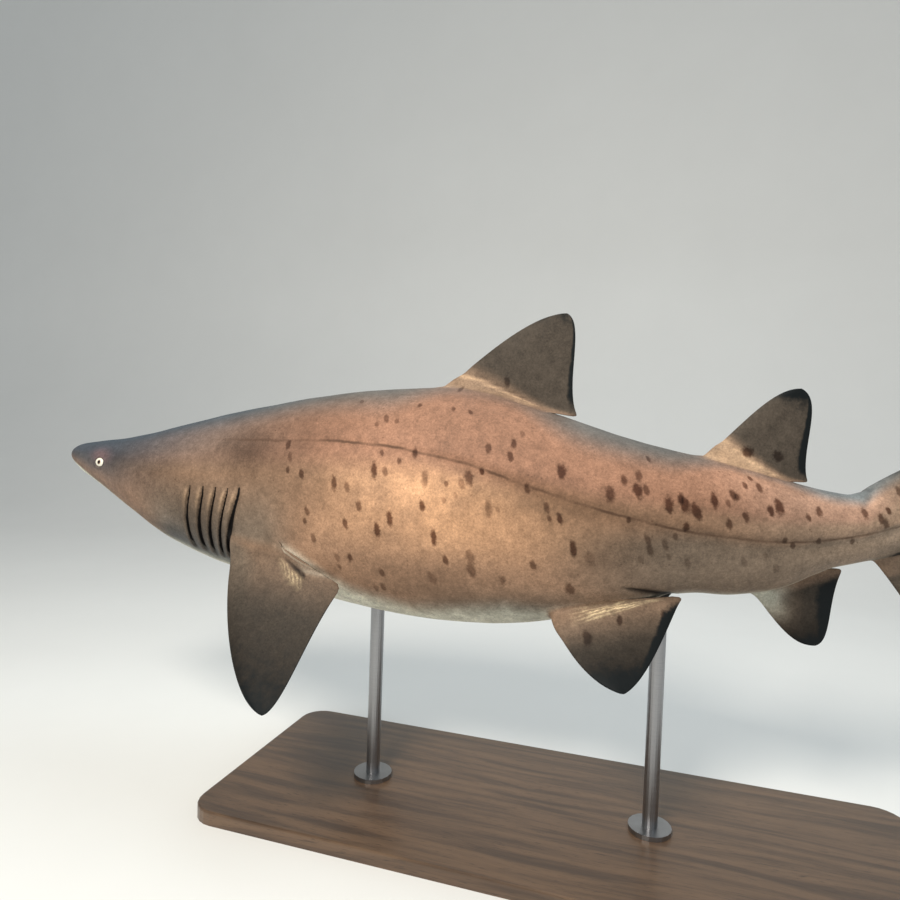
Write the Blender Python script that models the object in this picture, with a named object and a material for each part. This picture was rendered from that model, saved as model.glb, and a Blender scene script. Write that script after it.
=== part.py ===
"""Grey nurse shark (Carcharias taurus), a still, life-size museum model on a two-rod stand.

The animal is laid out straight first, in percent of its total length: x is the station
behind the snout tip, y runs to its right, z runs up. Every point is then carried onto a
gently bent spine, scaled to metres and lifted onto the stand. The head points to -X and
the left side faces -Y. Each named part is a closed solid of its own, and neighbours keep
a gap of GAP.
"""
import math

import bmesh
import bpy
import numpy as np

# ---------------------------------------------------------------- driving dimensions
TOTAL_LENGTH = 2.60            # metres, snout tip to tip of the tail
UNIT = TOTAL_LENGTH / 100.0    # metres in one percent of the length
GAP = 0.0003                   # metres between neighbouring solids
SPINE_HEIGHT = 0.70            # metres, height of the spine above the floor at PIVOT
PIVOT = 35.0                   # station where the spine is level and unturned

# Body profile: station, back, belly, half width
BODY = (
    (0.0, 0.00, 0.00, 0.00),
    (1.0, 1.10, -0.95, 1.60),
    (3.0, 1.80, -1.80, 2.90),
    (6.0, 2.60, -2.90, 4.20),
    (10.0, 3.90, -4.55, 5.60),
    (14.0, 5.35, -6.35, 6.30),
    (18.0, 6.65, -7.50, 6.75),
    (22.0, 7.70, -8.20, 7.05),
    (28.0, 8.95, -9.25, 7.40),
    (35.0, 9.70, -10.10, 7.50),
    (41.0, 9.70, -10.25, 7.15),
    (48.0, 8.05, -9.40, 6.30),
    (54.0, 6.40, -7.45, 5.20),
    (60.0, 5.20, -5.90, 4.00),
    (66.0, 3.90, -4.60, 2.90),
    (70.0, 3.05, -3.00, 2.15),
    (71.6, 2.85, -2.60, 1.90),
)
ROUNDNESS = 2.15               # superellipse exponent of the body sections

# Tail fin, beyond TAIL_ROOT: station, upper edge, lower edge
TAIL_ROOT = 71.6
TAIL_EDGES = (
    (71.6, 2.85, -2.60),
    (73.0, 4.00, -2.20),
    (75.0, 5.15, -1.60),
    (80.0, 7.60, 0.10),
    (84.0, 9.35, 2.00),
    (88.0, 11.00, 4.30),
    (92.0, 12.50, 6.80),
    (96.0, 13.80, 8.90),
    (98.5, 14.50, 11.30),
    (100.0, 14.80, 14.20),
)
# Flesh that runs up the tail fin: station, height, half height, half width
TAIL_FLESH = (
    (71.6, 0.12, 2.70, 1.90),
    (75.0, 1.00, 2.30, 1.45),
    (80.0, 3.60, 1.90, 1.00),
    (88.0, 8.20, 1.25, 0.55),
    (95.0, 11.80, 0.70, 0.32),
    (100.0, 14.50, 0.30, 0.16),
)
FLESH_FALLOFF = 1.6            # how fast the flesh thins out to the web beside it
TAIL_WEB = 0.13                # half thickness of the tail fin's thin web
TAIL_BLEND = 5.0               # stations over which the body turns into the tail fin
EDGE_ROUNDING = 2.5            # the web's edges round off where |across| is under 1 over this
NOTCH_STATION = 95.3           # notch under the tip of the tail
NOTCH_DEPTH = 2.2
NOTCH_WIDTH = 0.45

# Pose: station and angle in degrees; yaw swings to the right, pitch lifts the tail
YAW = ((0, 13.6), (8, 4.6), (18, 4.5), (35, 0.0), (52, 0.7), (72, 12.5), (86, 17.0), (100, 15.0))
PITCH = ((0, -9.1), (18, -3.8), (35, 0.0), (55, -1.9), (76, 1.1), (100, 1.1))
ROLL = ((0, -2.5), (35, -2.5), (76, 4.8), (100, 4.8))

# Mouth: a U on the underside
MOUTH_RING = 12.5              # ring that carries the lips, counted on the back
MOUTH_FRONT = 5.0              # station of the lips on the mid line below
MOUTH_SPREAD = 45.0            # degrees from the mid line below to a corner
MOUTH_SWEEP = 5.5              # station length from the front of the U to its corners
JAW_END_RING = 14.8            # ring at the back of the lower jaw
GAPE = 0.40                    # rings between the upper lip and the lower jaw
JAW_DEPTH = 1.35
JAW_WIDTH = 0.988              # width of the lower jaw as a share of its recess
WARP_END = 17.0                # ring behind which the rings are upright again

EYE_STATION = 5.85
EYE_ANGLE = 84.0               # degrees down from the mid line of the back
EYE_RADIUS = 0.60
EYE_BULGE = 0.24               # how far the eye stands out of the skin

# Teeth: length and radius of the longest, height of their roots above the lip
TOOTH_LENGTH_UPPER = 0.80
TOOTH_LENGTH_LOWER = 0.42
TOOTH_RADIUS = 0.085
TOOTH_SHRINK = 0.45            # share of its length that the last tooth of a row lacks
TOOTH_ROOT = 0.30
TOOTH_SETBACK = 0.04

# Gill slits, first to fifth: station at the top and at the bottom, angles of both ends
GILL_TOPS = (17.5, 18.85, 20.15, 21.4, 22.5)
GILL_FEET = (17.3, 18.45, 19.4, 20.3, 21.0)
GILL_TOP_ANGLE = 89.0
GILL_FOOT_ANGLE = 138.0
GILL_BOW = 0.16                # how far the middle of a slit bows forward
GILL_WIDTH = 0.13
GILL_DEPTH = 0.45
GILL_RAKE = 0.20               # how far the bottom of a slit lies ahead of its mouth
GILL_TAPER = 0.32              # width and depth at the ends, as a share of the middle

# Stand
BASE_LENGTH = 1.50
BASE_WIDTH = 0.56
BASE_THICKNESS = 0.030
BASE_CORNER = 0.06
BASE_CHAMFER = 0.004
ROD_RADIUS = 0.016
FLANGE_RADIUS = 0.045
FLANGE_THICKNESS = 0.010
ROD_STATIONS = (33.0, 57.5)

# Angles of the columns of points on the left half of a ring, from the back to the belly
HALF_COLUMNS = (0, 10, 24, 38, 52, 66, 80, 94, 108, 117, 126, 135, 144, 153, 162, 171, 180)
DORSAL, PECTORAL, PELVIC, VENTRAL = 0, 10, 13, 16

HEAD_RINGS = (0.15, 0.6, 1.4, 2.6, 4.2, 6.0, 7.6, 9.2, 10.8, 12.5, 13.2, 14.0, 14.8, 15.8, 17.0)
SHOULDER_RINGS = (17.0, 18.5, 20.0, 21.5, 22.75, 24.0, 25.25, 26.5, 28.0)
CHEST_RINGS = (28.0, 30.5, 33.0, 35.5, 38.0)
BACK_RINGS = (38.0, 39.4, 41.0, 42.6, 44.2, 45.8, 47.4, 48.6)
HIP_RINGS = (48.6, 49.4, 50.9, 52.4, 53.9, 55.4, 57.4, 59.0)
STALK_RINGS = (59.0, 60.1, 61.5, 62.9, 64.2, 65.2, 66.2, 67.2, 68.2, 69.3, 70.5, 71.6)
TAIL_RINGS = (71.6, 73.0, 74.7, 76.4, 78.1, 79.8, 81.5, 84.0, 87.0, 90.0, 92.8, 94.6, 95.3, 96.0,
              97.5, 99.0, 99.8)

SKIN = (0.42, 0.24, 0.15)
FIN_SKIN = (0.11, 0.085, 0.07)
JAW_SKIN = (0.45, 0.40, 0.34)
EYE_GLASS = (0.75, 0.72, 0.62)
BASE_WOOD = (0.55, 0.53, 0.50)
ROD_STEEL = (0.35, 0.35, 0.36)


# ---------------------------------------------------------------- curves
def smooth(x, table, column=1):
    """Value at x on a smooth curve through the rows of a table."""
    rows = np.asarray(table, dtype=float)
    xs, ys = rows[:, 0], rows[:, column]
    slopes = np.gradient(ys, xs)
    x = np.clip(np.asarray(x, dtype=float), xs[0], xs[-1])
    i = np.clip(np.searchsorted(xs, x) - 1, 0, len(xs) - 2)
    h = xs[i + 1] - xs[i]
    t = (x - xs[i]) / h
    a = (2 * t**3 - 3 * t**2 + 1) * ys[i] + (t**3 - 2 * t**2 + t) * h * slopes[i]
    return a + (3 * t**2 - 2 * t**3) * ys[i + 1] + (t**3 - t**2) * h * slopes[i + 1]


def ease(t):
    """Smooth step from 0 to 1 as t runs from 0 to 1."""
    t = np.clip(t, 0.0, 1.0)
    return t * t * (3 - 2 * t)


def power(value, exponent):
    """Signed power, for superellipses."""
    return np.sign(value) * np.abs(value) ** exponent


def bezier(points, t):
    """Point at t on a Bezier curve with the given control points."""
    rows = [np.asarray(p, dtype=float) for p in points]
    while len(rows) > 1:
        rows = [a + (b - a) * t for a, b in zip(rows[:-1], rows[1:])]
    return rows[0]


# ---------------------------------------------------------------- straight body
def body_profile(x):
    """Back, belly and half width at station x, rounded off at the snout tip."""
    root_table = [(math.sqrt(row[0]),) + row[1:] for row in BODY]
    root = np.sqrt(np.maximum(x, 0.0))
    return tuple(smooth(root, root_table, k) for k in (1, 2, 3))


def tail_profile(x):
    """Upper and lower edge of the tail fin at station x, with its notch."""
    notch = NOTCH_DEPTH * np.exp(-(((x - NOTCH_STATION) / NOTCH_WIDTH) ** 2))
    return smooth(x, TAIL_EDGES, 1), smooth(x, TAIL_EDGES, 2) + notch


def section(x, angle):
    """Point of the skin at station x, angle degrees from the back down the left side."""
    turn = np.radians(angle)
    across, along = -np.sin(turn), np.cos(turn)
    rounding = 2.0 / ROUNDNESS
    if x <= TAIL_ROOT:
        top, bottom, width = body_profile(x)
        middle, half = (top + bottom) / 2, (top - bottom) / 2
        return np.array((x, width * power(across, rounding), middle + half * power(along, rounding)))
    top, bottom = tail_profile(x)
    middle, half = (top + bottom) / 2, (top - bottom) / 2
    z = middle + half * power(along, rounding)
    height, flesh, width = (smooth(x, TAIL_FLESH, k) for k in (1, 2, 3))
    edge = np.sqrt(np.minimum(1.0, EDGE_ROUNDING * np.abs(across)))
    thin = TAIL_WEB + (width - TAIL_WEB) * np.exp(-FLESH_FALLOFF * ((z - height) / flesh) ** 2)
    blend = ease((x - TAIL_ROOT) / TAIL_BLEND)
    y = (1 - blend) * width * np.abs(across) ** rounding + blend * thin * edge
    return np.array((x, math.copysign(y, across) if across else 0.0, z))


def ring_station(ring, angle):
    """Station of a ring's point: the head's rings lean forward below, so that one is the lips."""
    from_belly = abs(180.0 - angle) / MOUTH_SPREAD
    reach = MOUTH_RING - MOUTH_FRONT
    corner = 1 - MOUTH_SWEEP / reach
    if from_belly <= 1:
        lean = 1 - (1 - corner) * from_belly**2
    else:
        lean = corner * math.exp(-2 * (1 - corner) / corner * (from_belly - 1))
    if ring <= MOUTH_RING:
        amount = ring * reach / MOUTH_RING
    else:
        amount = reach * (1 - ease((ring - MOUTH_RING) / (WARP_END - MOUTH_RING)))
    return ring - amount * lean


def skin_point(ring, angle):
    """Point of the skin on a ring."""
    return section(ring_station(ring, angle), angle)


def skin_normal(ring, angle):
    """Outward normal of the skin, straight frame."""
    step_ring, step_angle = 0.02, 0.5
    along = skin_point(ring + step_ring, angle) - skin_point(ring - step_ring, angle)
    around = skin_point(ring, angle + step_angle) - skin_point(ring, angle - step_angle)
    normal = np.cross(around, along)
    return normal / np.linalg.norm(normal)


def depth_in_body(point):
    """Above 0 where a straight point is inside the body or closer to it than FIN_CLEARANCE."""
    x = point[0]
    if x > TAIL_ROOT:
        top, bottom = tail_profile(x)
        width = float(smooth(x, TAIL_FLESH, 3))
    else:
        top, bottom, width = body_profile(x)
    half = (top - bottom) / 2 + FIN_CLEARANCE
    across = abs(point[1]) / (width + FIN_CLEARANCE)
    along = abs(point[2] - (top + bottom) / 2) / half
    return 1.0 - across**ROUNDNESS - along**ROUNDNESS


# ---------------------------------------------------------------- pose
def spine_frames():
    """Spine points and frames at close stations, as arrays."""
    s = np.linspace(-2.0, 102.0, 1041)
    yaw, pitch, roll = (np.radians(smooth(s, table)) for table in (YAW, PITCH, ROLL))
    tangent = np.stack((np.cos(yaw) * np.cos(pitch), np.sin(yaw) * np.cos(pitch), np.sin(pitch)), 1)
    steps = (tangent[1:] + tangent[:-1]) / 2 * (s[1] - s[0])
    centre = np.vstack((np.zeros(3), np.cumsum(steps, axis=0)))
    pivot = np.array([np.interp(PIVOT, s, centre[:, k]) for k in range(3)])
    centre += np.array((PIVOT, 0.0, 0.0)) - pivot
    level = np.cross((0.0, 0.0, 1.0), tangent)
    level /= np.linalg.norm(level, axis=1)[:, None]
    upright = np.cross(tangent, level)
    cos, sin = np.cos(roll)[:, None], np.sin(roll)[:, None]
    return s, centre, level * cos + upright * sin, upright * cos - level * sin


SPINE = spine_frames()


def posed(points):
    """Carry straight points onto the bent spine; the result is still in percent."""
    points = np.atleast_2d(np.asarray(points, dtype=float))
    s, centre, side, up = SPINE
    at = [np.stack([np.interp(points[:, 0], s, table[:, k]) for k in range(3)], 1)
          for table in (centre, side, up)]
    return at[0] + points[:, 1:2] * at[1] + points[:, 2:3] * at[2]


# ---------------------------------------------------------------- meshes and objects
class Shell:
    """Points in the straight frame and the faces between them."""

    def __init__(self):
        self.points = []
        self.faces = []

    def add(self, point):
        self.points.append(np.asarray(point, dtype=float))
        return len(self.points) - 1

    def add_row(self, row):
        return [self.add(point) for point in row]

    def strip(self, first, second, closed=False):
        """Faces between two rows of points of the same length."""
        count = len(first)
        for k in range(count if closed else count - 1):
            after = (k + 1) % count
            self.faces.append((first[k], first[after], second[after], second[k]))

    def grid(self, rows, closed=False):
        for first, second in zip(rows[:-1], rows[1:]):
            self.strip(first, second, closed)

    def fan(self, row, tip):
        for k, index in enumerate(row):
            self.faces.append((index, row[(k + 1) % len(row)], tip))


def material(name, colour, roughness=0.5, metallic=0.0):
    """A plain Principled material."""
    result = bpy.data.materials.new(name)
    result.use_nodes = True
    shader = result.node_tree.nodes["Principled BSDF"]
    shader.inputs["Base Color"].default_value = (*colour, 1.0)
    shader.inputs["Roughness"].default_value = roughness
    shader.inputs["Metallic"].default_value = metallic
    return result


def finish_object(name, mesh_builder, colour, roughness=0.5, metallic=0.0):
    """Object from a bmesh, with outward faces, smooth shading and its material."""
    bmesh.ops.remove_doubles(mesh_builder, verts=mesh_builder.verts, dist=1e-6)
    bmesh.ops.recalc_face_normals(mesh_builder, faces=mesh_builder.faces)
    mesh = bpy.data.meshes.new(name)
    mesh_builder.to_mesh(mesh)
    mesh_builder.free()
    mesh.shade_smooth()
    mesh.set_sharp_from_angle(angle=math.radians(50))
    mesh.materials.append(material(name, colour, roughness, metallic))
    result = bpy.data.objects.new(name, mesh)
    bpy.context.scene.collection.objects.link(result)
    return result


def shell_bmesh(shell):
    """The shell, posed and in world metres."""
    builder = bmesh.new()
    world = posed(shell.points) * UNIT + np.array(WORLD_SHIFT)
    verts = [builder.verts.new(point) for point in world]
    for face in shell.faces:
        corners = list(dict.fromkeys(face))
        if len(corners) > 2:
            builder.faces.new([verts[k] for k in corners])
    return builder


def shell_object(name, shell, colour=SKIN, roughness=0.5):
    return finish_object(name, shell_bmesh(shell), colour, roughness)


def apply_boolean(target, tool, operation):
    """Cut or join target with tool, then remove the tool."""
    tool.hide_render = True
    tool.display_type = "WIRE"
    modifier = target.modifiers.new(operation.lower(), "BOOLEAN")
    modifier.operation = operation
    modifier.solver = "EXACT"
    modifier.object = tool
    evaluated = target.evaluated_get(bpy.context.evaluated_depsgraph_get())
    cut = bpy.data.meshes.new_from_object(evaluated)
    target.modifiers.clear()
    target.data = cut
    bpy.data.objects.remove(tool)


# ---------------------------------------------------------------- body pieces
def column_angle(column):
    """Angle of a column; columns past the belly run up the right side."""
    half = len(HALF_COLUMNS) - 1
    column %= 2 * half
    return HALF_COLUMNS[column] if column <= half else 360 - HALF_COLUMNS[2 * half - column]


ALL_COLUMNS = range(2 * (len(HALF_COLUMNS) - 1))


def body_piece(name, rings):
    """A length of the body between its first and last ring."""
    inset = GAP / 2 / UNIT
    rings = (rings[0] + inset,) + tuple(rings[1:-1]) + (rings[-1] - inset,)
    shell = Shell()
    rows = [shell.add_row(skin_point(ring, column_angle(c)) for c in ALL_COLUMNS) for ring in rings]
    shell.grid(rows, closed=True)
    shell.faces.append(tuple(rows[0]))
    shell.faces.append(tuple(rows[-1]))
    return shell_object(name, shell)


def jaw_columns():
    """Columns from the left corner of the mouth to the right one."""
    corner = HALF_COLUMNS.index(180 - MOUTH_SPREAD)
    return list(range(corner, 2 * VENTRAL - corner + 1))


def jaw_roof(ring, angle, lift):
    """Point above the lower jaw's skin, on the surface between the jaw and the head."""
    from_belly = min(1.0, abs(180.0 - angle) / MOUTH_SPREAD)
    rise = JAW_DEPTH * math.sqrt(1 - from_belly**2)
    return skin_point(ring, angle) + np.array((0.0, 0.0, rise + lift))


def head_piece():
    """The head with the recess that holds the lower jaw."""
    shell = Shell()
    columns = jaw_columns()
    rings = HEAD_RINGS[:-1] + (HEAD_RINGS[-1] - GAP / 2 / UNIT,)
    rows = [shell.add_row(skin_point(ring, column_angle(c)) for c in ALL_COLUMNS) for ring in rings]
    first, last = HEAD_RINGS.index(MOUTH_RING), HEAD_RINGS.index(JAW_END_RING)
    shell.fan(rows[0], shell.add((0.0, 0.0, 0.0)))
    shell.grid(rows[:first + 1], closed=True)
    shell.grid(rows[last:], closed=True)
    upper = list(range(columns[-1], len(ALL_COLUMNS))) + list(range(0, columns[0] + 1))
    shell.grid([[row[c] for c in upper] for row in rows[first:last + 1]])
    roof = []
    for k in range(first, last + 1):
        inner = [shell.add(jaw_roof(rings[k], column_angle(c), 0.0)) for c in columns[1:-1]]
        roof.append([rows[k][columns[0]]] + inner + [rows[k][columns[-1]]])
    shell.grid(roof)
    shell.strip([rows[first][c] for c in columns], roof[0])
    shell.strip([rows[last][c] for c in columns], roof[-1])
    shell.faces.append(tuple(rows[-1]))
    return shell_object("head", shell)


def lower_jaw_piece():
    """The lower jaw: a curved wedge that fills its recess but for the gape."""
    shell = Shell()
    gap = GAP / UNIT
    angles = [180 + (column_angle(c) - 180) * JAW_WIDTH for c in jaw_columns()]
    front, back = HEAD_RINGS.index(MOUTH_RING), HEAD_RINGS.index(JAW_END_RING)
    rings = (MOUTH_RING + GAPE,) + HEAD_RINGS[front + 1:back] + (JAW_END_RING - gap,)
    skin = [shell.add_row(skin_point(ring, angle) for angle in angles) for ring in rings]
    roof = []
    for ring, row in zip(rings, skin):
        inner = [shell.add(jaw_roof(ring, angle, -2 * gap)) for angle in angles[1:-1]]
        roof.append([row[0]] + inner + [row[-1]])
    shell.grid(skin)
    shell.grid(roof)
    shell.strip(skin[0], roof[0])
    shell.strip(skin[-1], roof[-1])
    return shell_object("lower_jaw", shell, JAW_SKIN)


def tail_piece():
    """The upper lobe of the tail fin, with the end of the flesh that runs up it."""
    shell = Shell()
    rings = (TAIL_RINGS[0] + GAP / 2 / UNIT,) + TAIL_RINGS[1:]
    rows = [shell.add_row(skin_point(ring, column_angle(c)) for c in ALL_COLUMNS) for ring in rings]
    shell.grid(rows, closed=True)
    shell.faces.append(tuple(rows[0]))
    shell.fan(rows[-1], shell.add((100.0, 0.0, float(smooth(100.0, TAIL_FLESH, 1)))))
    return shell_object("tail_fin_upper_lobe", shell, FIN_SKIN)


# ---------------------------------------------------------------- fins
FIN_CLEARANCE = 0.22           # least distance from the body to the first row of a fin
FIN_LEVELS = (0.035, 0.20, 0.40, 0.58, 0.76, 0.90, 0.975)
FIN_TAPER = 0.80               # share of its thickness that a fin loses from base to tip
FIN_LEAST = 0.075              # least half thickness at the base
LEAST_TAPER = 0.45             # share of the least half thickness lost from base to tip
CHORD_START = 0.035            # chord of the first points behind the front edge
CHORD_REACH = 0.93             # chord from the first points to the last
CHORD_CROWDING = 1.15          # above 1 the points crowd to the front edge


def foil(chord):
    """Half thickness of a fin section along its chord, 1 at the thickest."""
    full = 2.969 * math.sqrt(chord) - 1.26 * chord - 3.516 * chord**2
    return full + 2.843 * chord**3 - 1.036 * chord**4


class Fin:
    """A fin that grows from a patch of the skin.

    The patch is two columns wide about a column, and runs over some rings. The outline
    lies in a plane through anchor with the axes (1, 0, 0) and span; lead and trail are
    Bezier control points in that plane, from the body out to the tip.
    """

    def __init__(self, name, column, rings, anchor, span, lead, trail, thickness):
        self.name = name
        self.column = column
        self.rings = rings
        self.anchor = np.asarray(anchor, dtype=float)
        self.span = np.asarray(span, dtype=float)
        self.lead = lead
        self.trail = trail
        self.thickness = thickness

    def side(self):
        """Unit direction from the fin's plane to the side of the next column."""
        middle = self.rings[len(self.rings) // 2]
        after = skin_point(middle, column_angle(self.column + 1))
        before = skin_point(middle, column_angle(self.column - 1))
        normal = np.cross((1.0, 0.0, 0.0), self.span)
        return normal if np.dot(normal, after - before) > 0 else -normal

    def loop(self, level):
        """Closed loop of fin points at a level: front edge, one side, rear edge, other side."""
        front, rear = bezier(self.lead, level), bezier(self.trail, level)
        count = len(self.rings) - 1
        thick = self.thickness * (1 - FIN_TAPER * level**0.85)
        least = FIN_LEAST * (1 - LEAST_TAPER * level)

        def place(chord, offset):
            s, t = front + (rear - front) * chord
            point = self.anchor + np.array((s, 0.0, 0.0)) + self.span * t + self.side() * offset
            while depth_in_body(point) > 0:
                point += 0.05 * self.span
            return point

        shares = [CHORD_START + CHORD_REACH * (k / count) ** CHORD_CROWDING
                  for k in range(count + 1)]
        halves = [max(least, thick * foil(share)) for share in shares]
        near = [place(c, h) for c, h in zip(shares, halves)]
        far = [place(c, -h) for c, h in zip(shares, halves)]
        return [place(0.0, 0.0)] + near + [place(1.0, 0.0)] + far[::-1]

    def base(self, lift):
        """Loop of skin points around the patch, lifted off the skin, and the row between."""
        def point(ring, step):
            angle = column_angle(self.column + step)
            return skin_point(ring, angle) + lift * skin_normal(ring, angle)

        near = [point(ring, 1) for ring in self.rings]
        far = [point(ring, -1) for ring in self.rings]
        middle = [point(ring, 0) for ring in self.rings]
        return [middle[0]] + near + [middle[-1]] + far[::-1], middle[1:-1]

    def build(self):
        shell = Shell()
        outline, middle = self.base(GAP / UNIT)
        rows = [shell.add_row(outline)] + [shell.add_row(self.loop(level)) for level in FIN_LEVELS]
        shell.grid(rows, closed=True)
        count = len(self.rings)
        for row, centre in ((rows[0], shell.add_row(middle)), (rows[-1], None)):
            near = row[1:count + 1]
            far = row[count + 2:][::-1]
            if centre is None:
                shell.strip(near, far)
                shell.faces.append((row[0], near[0], far[0]))
                shell.faces.append((row[count + 1], near[-1], far[-1]))
            else:
                spine = [row[0]] + centre + [row[count + 1]]
                shell.strip(near, spine)
                shell.strip(spine, far)
        return shell_object(self.name, shell, FIN_SKIN)


def slanted(degrees, left):
    """Span direction of a paired fin, degrees below the horizontal."""
    turn = math.radians(degrees)
    return (0.0, -math.cos(turn) if left else math.cos(turn), -math.sin(turn))


def span_of(rings, first, last):
    """The rings from first to last."""
    return tuple(rings[rings.index(first):rings.index(last) + 1])


def all_fins():
    """Every fin but the upper lobe of the tail."""
    origin, up, down = (0.0, 0.0, 0.0), (0.0, 0.0, 1.0), (0.0, 0.0, -1.0)
    fins = [
        Fin("first_dorsal_fin", DORSAL, span_of(BACK_RINGS, 39.4, 47.4), origin, up,
            lead=((38.6, 9.90), (42.1, 12.8), (45.6, 16.2), (48.5, 16.30)),
            trail=((50.6, 7.1), (48.4, 9.3), (50.7, 15.9), (48.6, 16.35)), thickness=0.62),
        Fin("second_dorsal_fin", DORSAL, span_of(STALK_RINGS, 60.1, 66.2), origin, up,
            lead=((59.6, 5.50), (62.6, 8.0), (64.6, 10.8), (66.7, 10.90)),
            trail=((68.3, 3.0), (66.6, 5.3), (69.2, 10.3), (66.8, 10.95)), thickness=0.50),
        Fin("anal_fin", VENTRAL, span_of(STALK_RINGS, 64.2, 69.3), origin, down,
            lead=((63.7, 4.95), (66.1, 7.1), (67.6, 9.3), (69.2, 9.10)),
            trail=((71.0, 2.7), (69.9, 4.9), (71.0, 9.1), (69.3, 9.15)), thickness=0.45),
        Fin("tail_fin_lower_lobe", VENTRAL, span_of(TAIL_RINGS, 73.0, 81.5), origin, down,
            lead=((72.6, 2.3), (75.6, 5.8), (77.0, 8.9), (79.6, 10.3)),
            trail=((82.6, -1.1), (80.2, 2.2), (80.9, 8.0), (79.7, 10.35)), thickness=0.50),
    ]
    pectoral_rings = span_of(SHOULDER_RINGS, 21.5, 26.5)
    pelvic_rings = span_of(HIP_RINGS, 49.4, 55.4)
    for side, left in (("left", True), ("right", False)):
        mirror = -1.0 if left else 1.0
        droop = 53.0 if left else 38.0
        turn = 1 if left else -1
        fins.append(
            Fin("pectoral_fin_" + side, turn * PECTORAL, pectoral_rings,
                (21.5, mirror * 5.72, -5.96), slanted(droop, left),
                lead=((-0.1, 0.0), (1.2, 4.6), (5.1, 11.7), (8.2, 12.35)),
                trail=((11.3, 1.6), (9.3, 5.2), (10.2, 12.3), (8.3, 12.40)), thickness=0.72))
        fins.append(
            Fin("pelvic_fin_" + side, turn * PELVIC, pelvic_rings,
                (49.38, mirror * 3.53, -7.88), slanted(40.0, left),
                lead=((-0.4, 0.1), (1.7, 2.9), (3.7, 5.5), (5.9, 5.70)),
                trail=((10.3, -3.1), (8.5, 0.3), (7.5, 4.8), (6.0, 5.75)), thickness=0.45))
    return fins


# ---------------------------------------------------------------- head details
def surface_frame(ring, angle):
    """Skin point and its normal, in percent, posed."""
    point = skin_point(ring, angle)
    ends = posed([point, point + skin_normal(ring, angle)])
    return ends[0], ends[1] - ends[0]


def ball(name, centre, radius, colour, roughness):
    """A sphere at a point given in posed percent."""
    builder = bmesh.new()
    bmesh.ops.create_uvsphere(builder, u_segments=14, v_segments=9, radius=radius)
    world = centre * UNIT + np.array(WORLD_SHIFT)
    bmesh.ops.translate(builder, verts=builder.verts, vec=world)
    return finish_object(name, builder, colour, roughness)


def add_eyes(head):
    """Eyes in sockets cut to fit them."""
    for side, angle in (("left", EYE_ANGLE), ("right", 360 - EYE_ANGLE)):
        point, normal = surface_frame(EYE_STATION, angle)
        centre = point + normal * (EYE_BULGE - EYE_RADIUS)
        socket = ball("socket", centre, EYE_RADIUS * UNIT + GAP, SKIN, 0.5)
        apply_boolean(head, socket, "DIFFERENCE")
        ball("eye_" + side, centre, EYE_RADIUS * UNIT, EYE_GLASS, 0.15)


def spike(shell, root, heading, length, radius):
    """A slender four-sided tooth."""
    heading = heading / np.linalg.norm(heading)
    across = np.cross(heading, (0.0, 0.0, 1.0))
    if np.linalg.norm(across) < 0.1:
        across = np.array((1.0, 0.0, 0.0))
    across /= np.linalg.norm(across)
    other = np.cross(heading, across)
    rows = []
    for share, size in ((0.0, 1.0), (0.55, 0.62)):
        centre = root + heading * length * share
        corners = [centre + radius * size * (across * math.cos(a) + other * math.sin(a))
                   for a in np.linspace(0, 2 * math.pi, 4, endpoint=False)]
        rows.append(shell.add_row(corners))
    shell.grid(rows, closed=True)
    shell.faces.append(tuple(rows[0]))
    shell.fan(rows[-1], shell.add(root + heading * length))


def add_teeth(head, lower_jaw):
    """Upper teeth grow from the head's lip, lower ones from the jaw's front."""
    # jaw, ring of its lip, number of teeth, degrees to the last one, heading, length
    rows = ((head, MOUTH_RING, 22, 36.0, (0.12, 0.0, -1.0), TOOTH_LENGTH_UPPER),
            (lower_jaw, MOUTH_RING + GAPE, 20, 33.0, (-0.30, 0.0, 0.75), TOOTH_LENGTH_LOWER))
    for jaw, ring, count, reach, heading, length in rows:
        shell = Shell()
        setback = TOOTH_SETBACK if jaw is lower_jaw else -TOOTH_SETBACK
        for turn in np.linspace(-reach, reach, count):
            share = 1 - TOOTH_SHRINK * abs(turn) / reach
            root = skin_point(ring, 180.0 + turn) + np.array((setback, 0.0, TOOTH_ROOT))
            radius = TOOTH_RADIUS * (0.6 + 0.4 * share)
            spike(shell, root, np.asarray(heading), length * share, radius)
        apply_boolean(jaw, shell_object("teeth", shell), "UNION")


def gill_blade(shell, top_station, foot_station, mirror):
    """A thin curved wedge that cuts one gill slit."""
    proud = 0.3
    forward = np.array((1.0, 0.0, 0.0))
    rows = []
    for share in np.linspace(0.0, 1.0, 6):
        middle = math.sin(math.pi * share)
        angle = GILL_TOP_ANGLE + (GILL_FOOT_ANGLE - GILL_TOP_ANGLE) * share
        station = top_station + (foot_station - top_station) * share - GILL_BOW * middle
        angle = 360 - angle if mirror else angle
        point, normal = skin_point(station, angle), skin_normal(station, angle)
        size = GILL_TAPER + (1 - GILL_TAPER) * middle
        width, floor = GILL_WIDTH * size, GILL_WIDTH * size / 3
        outer, inner = point + normal * proud, point - normal * GILL_DEPTH * size
        rows.append(shell.add_row((outer - forward * width, outer + forward * width,
                                   inner + forward * (floor - GILL_RAKE),
                                   inner - forward * (floor + GILL_RAKE))))
    shell.grid(rows, closed=True)
    shell.faces.append(tuple(rows[0]))
    shell.faces.append(tuple(rows[-1]))


def cut_gills(shoulders):
    """Five gill slits on each side."""
    for mirror in (False, True):
        shell = Shell()
        for top_station, foot_station in zip(GILL_TOPS, GILL_FEET):
            gill_blade(shell, top_station, foot_station, mirror)
        apply_boolean(shoulders, shell_object("gill_cutter", shell), "DIFFERENCE")


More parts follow.
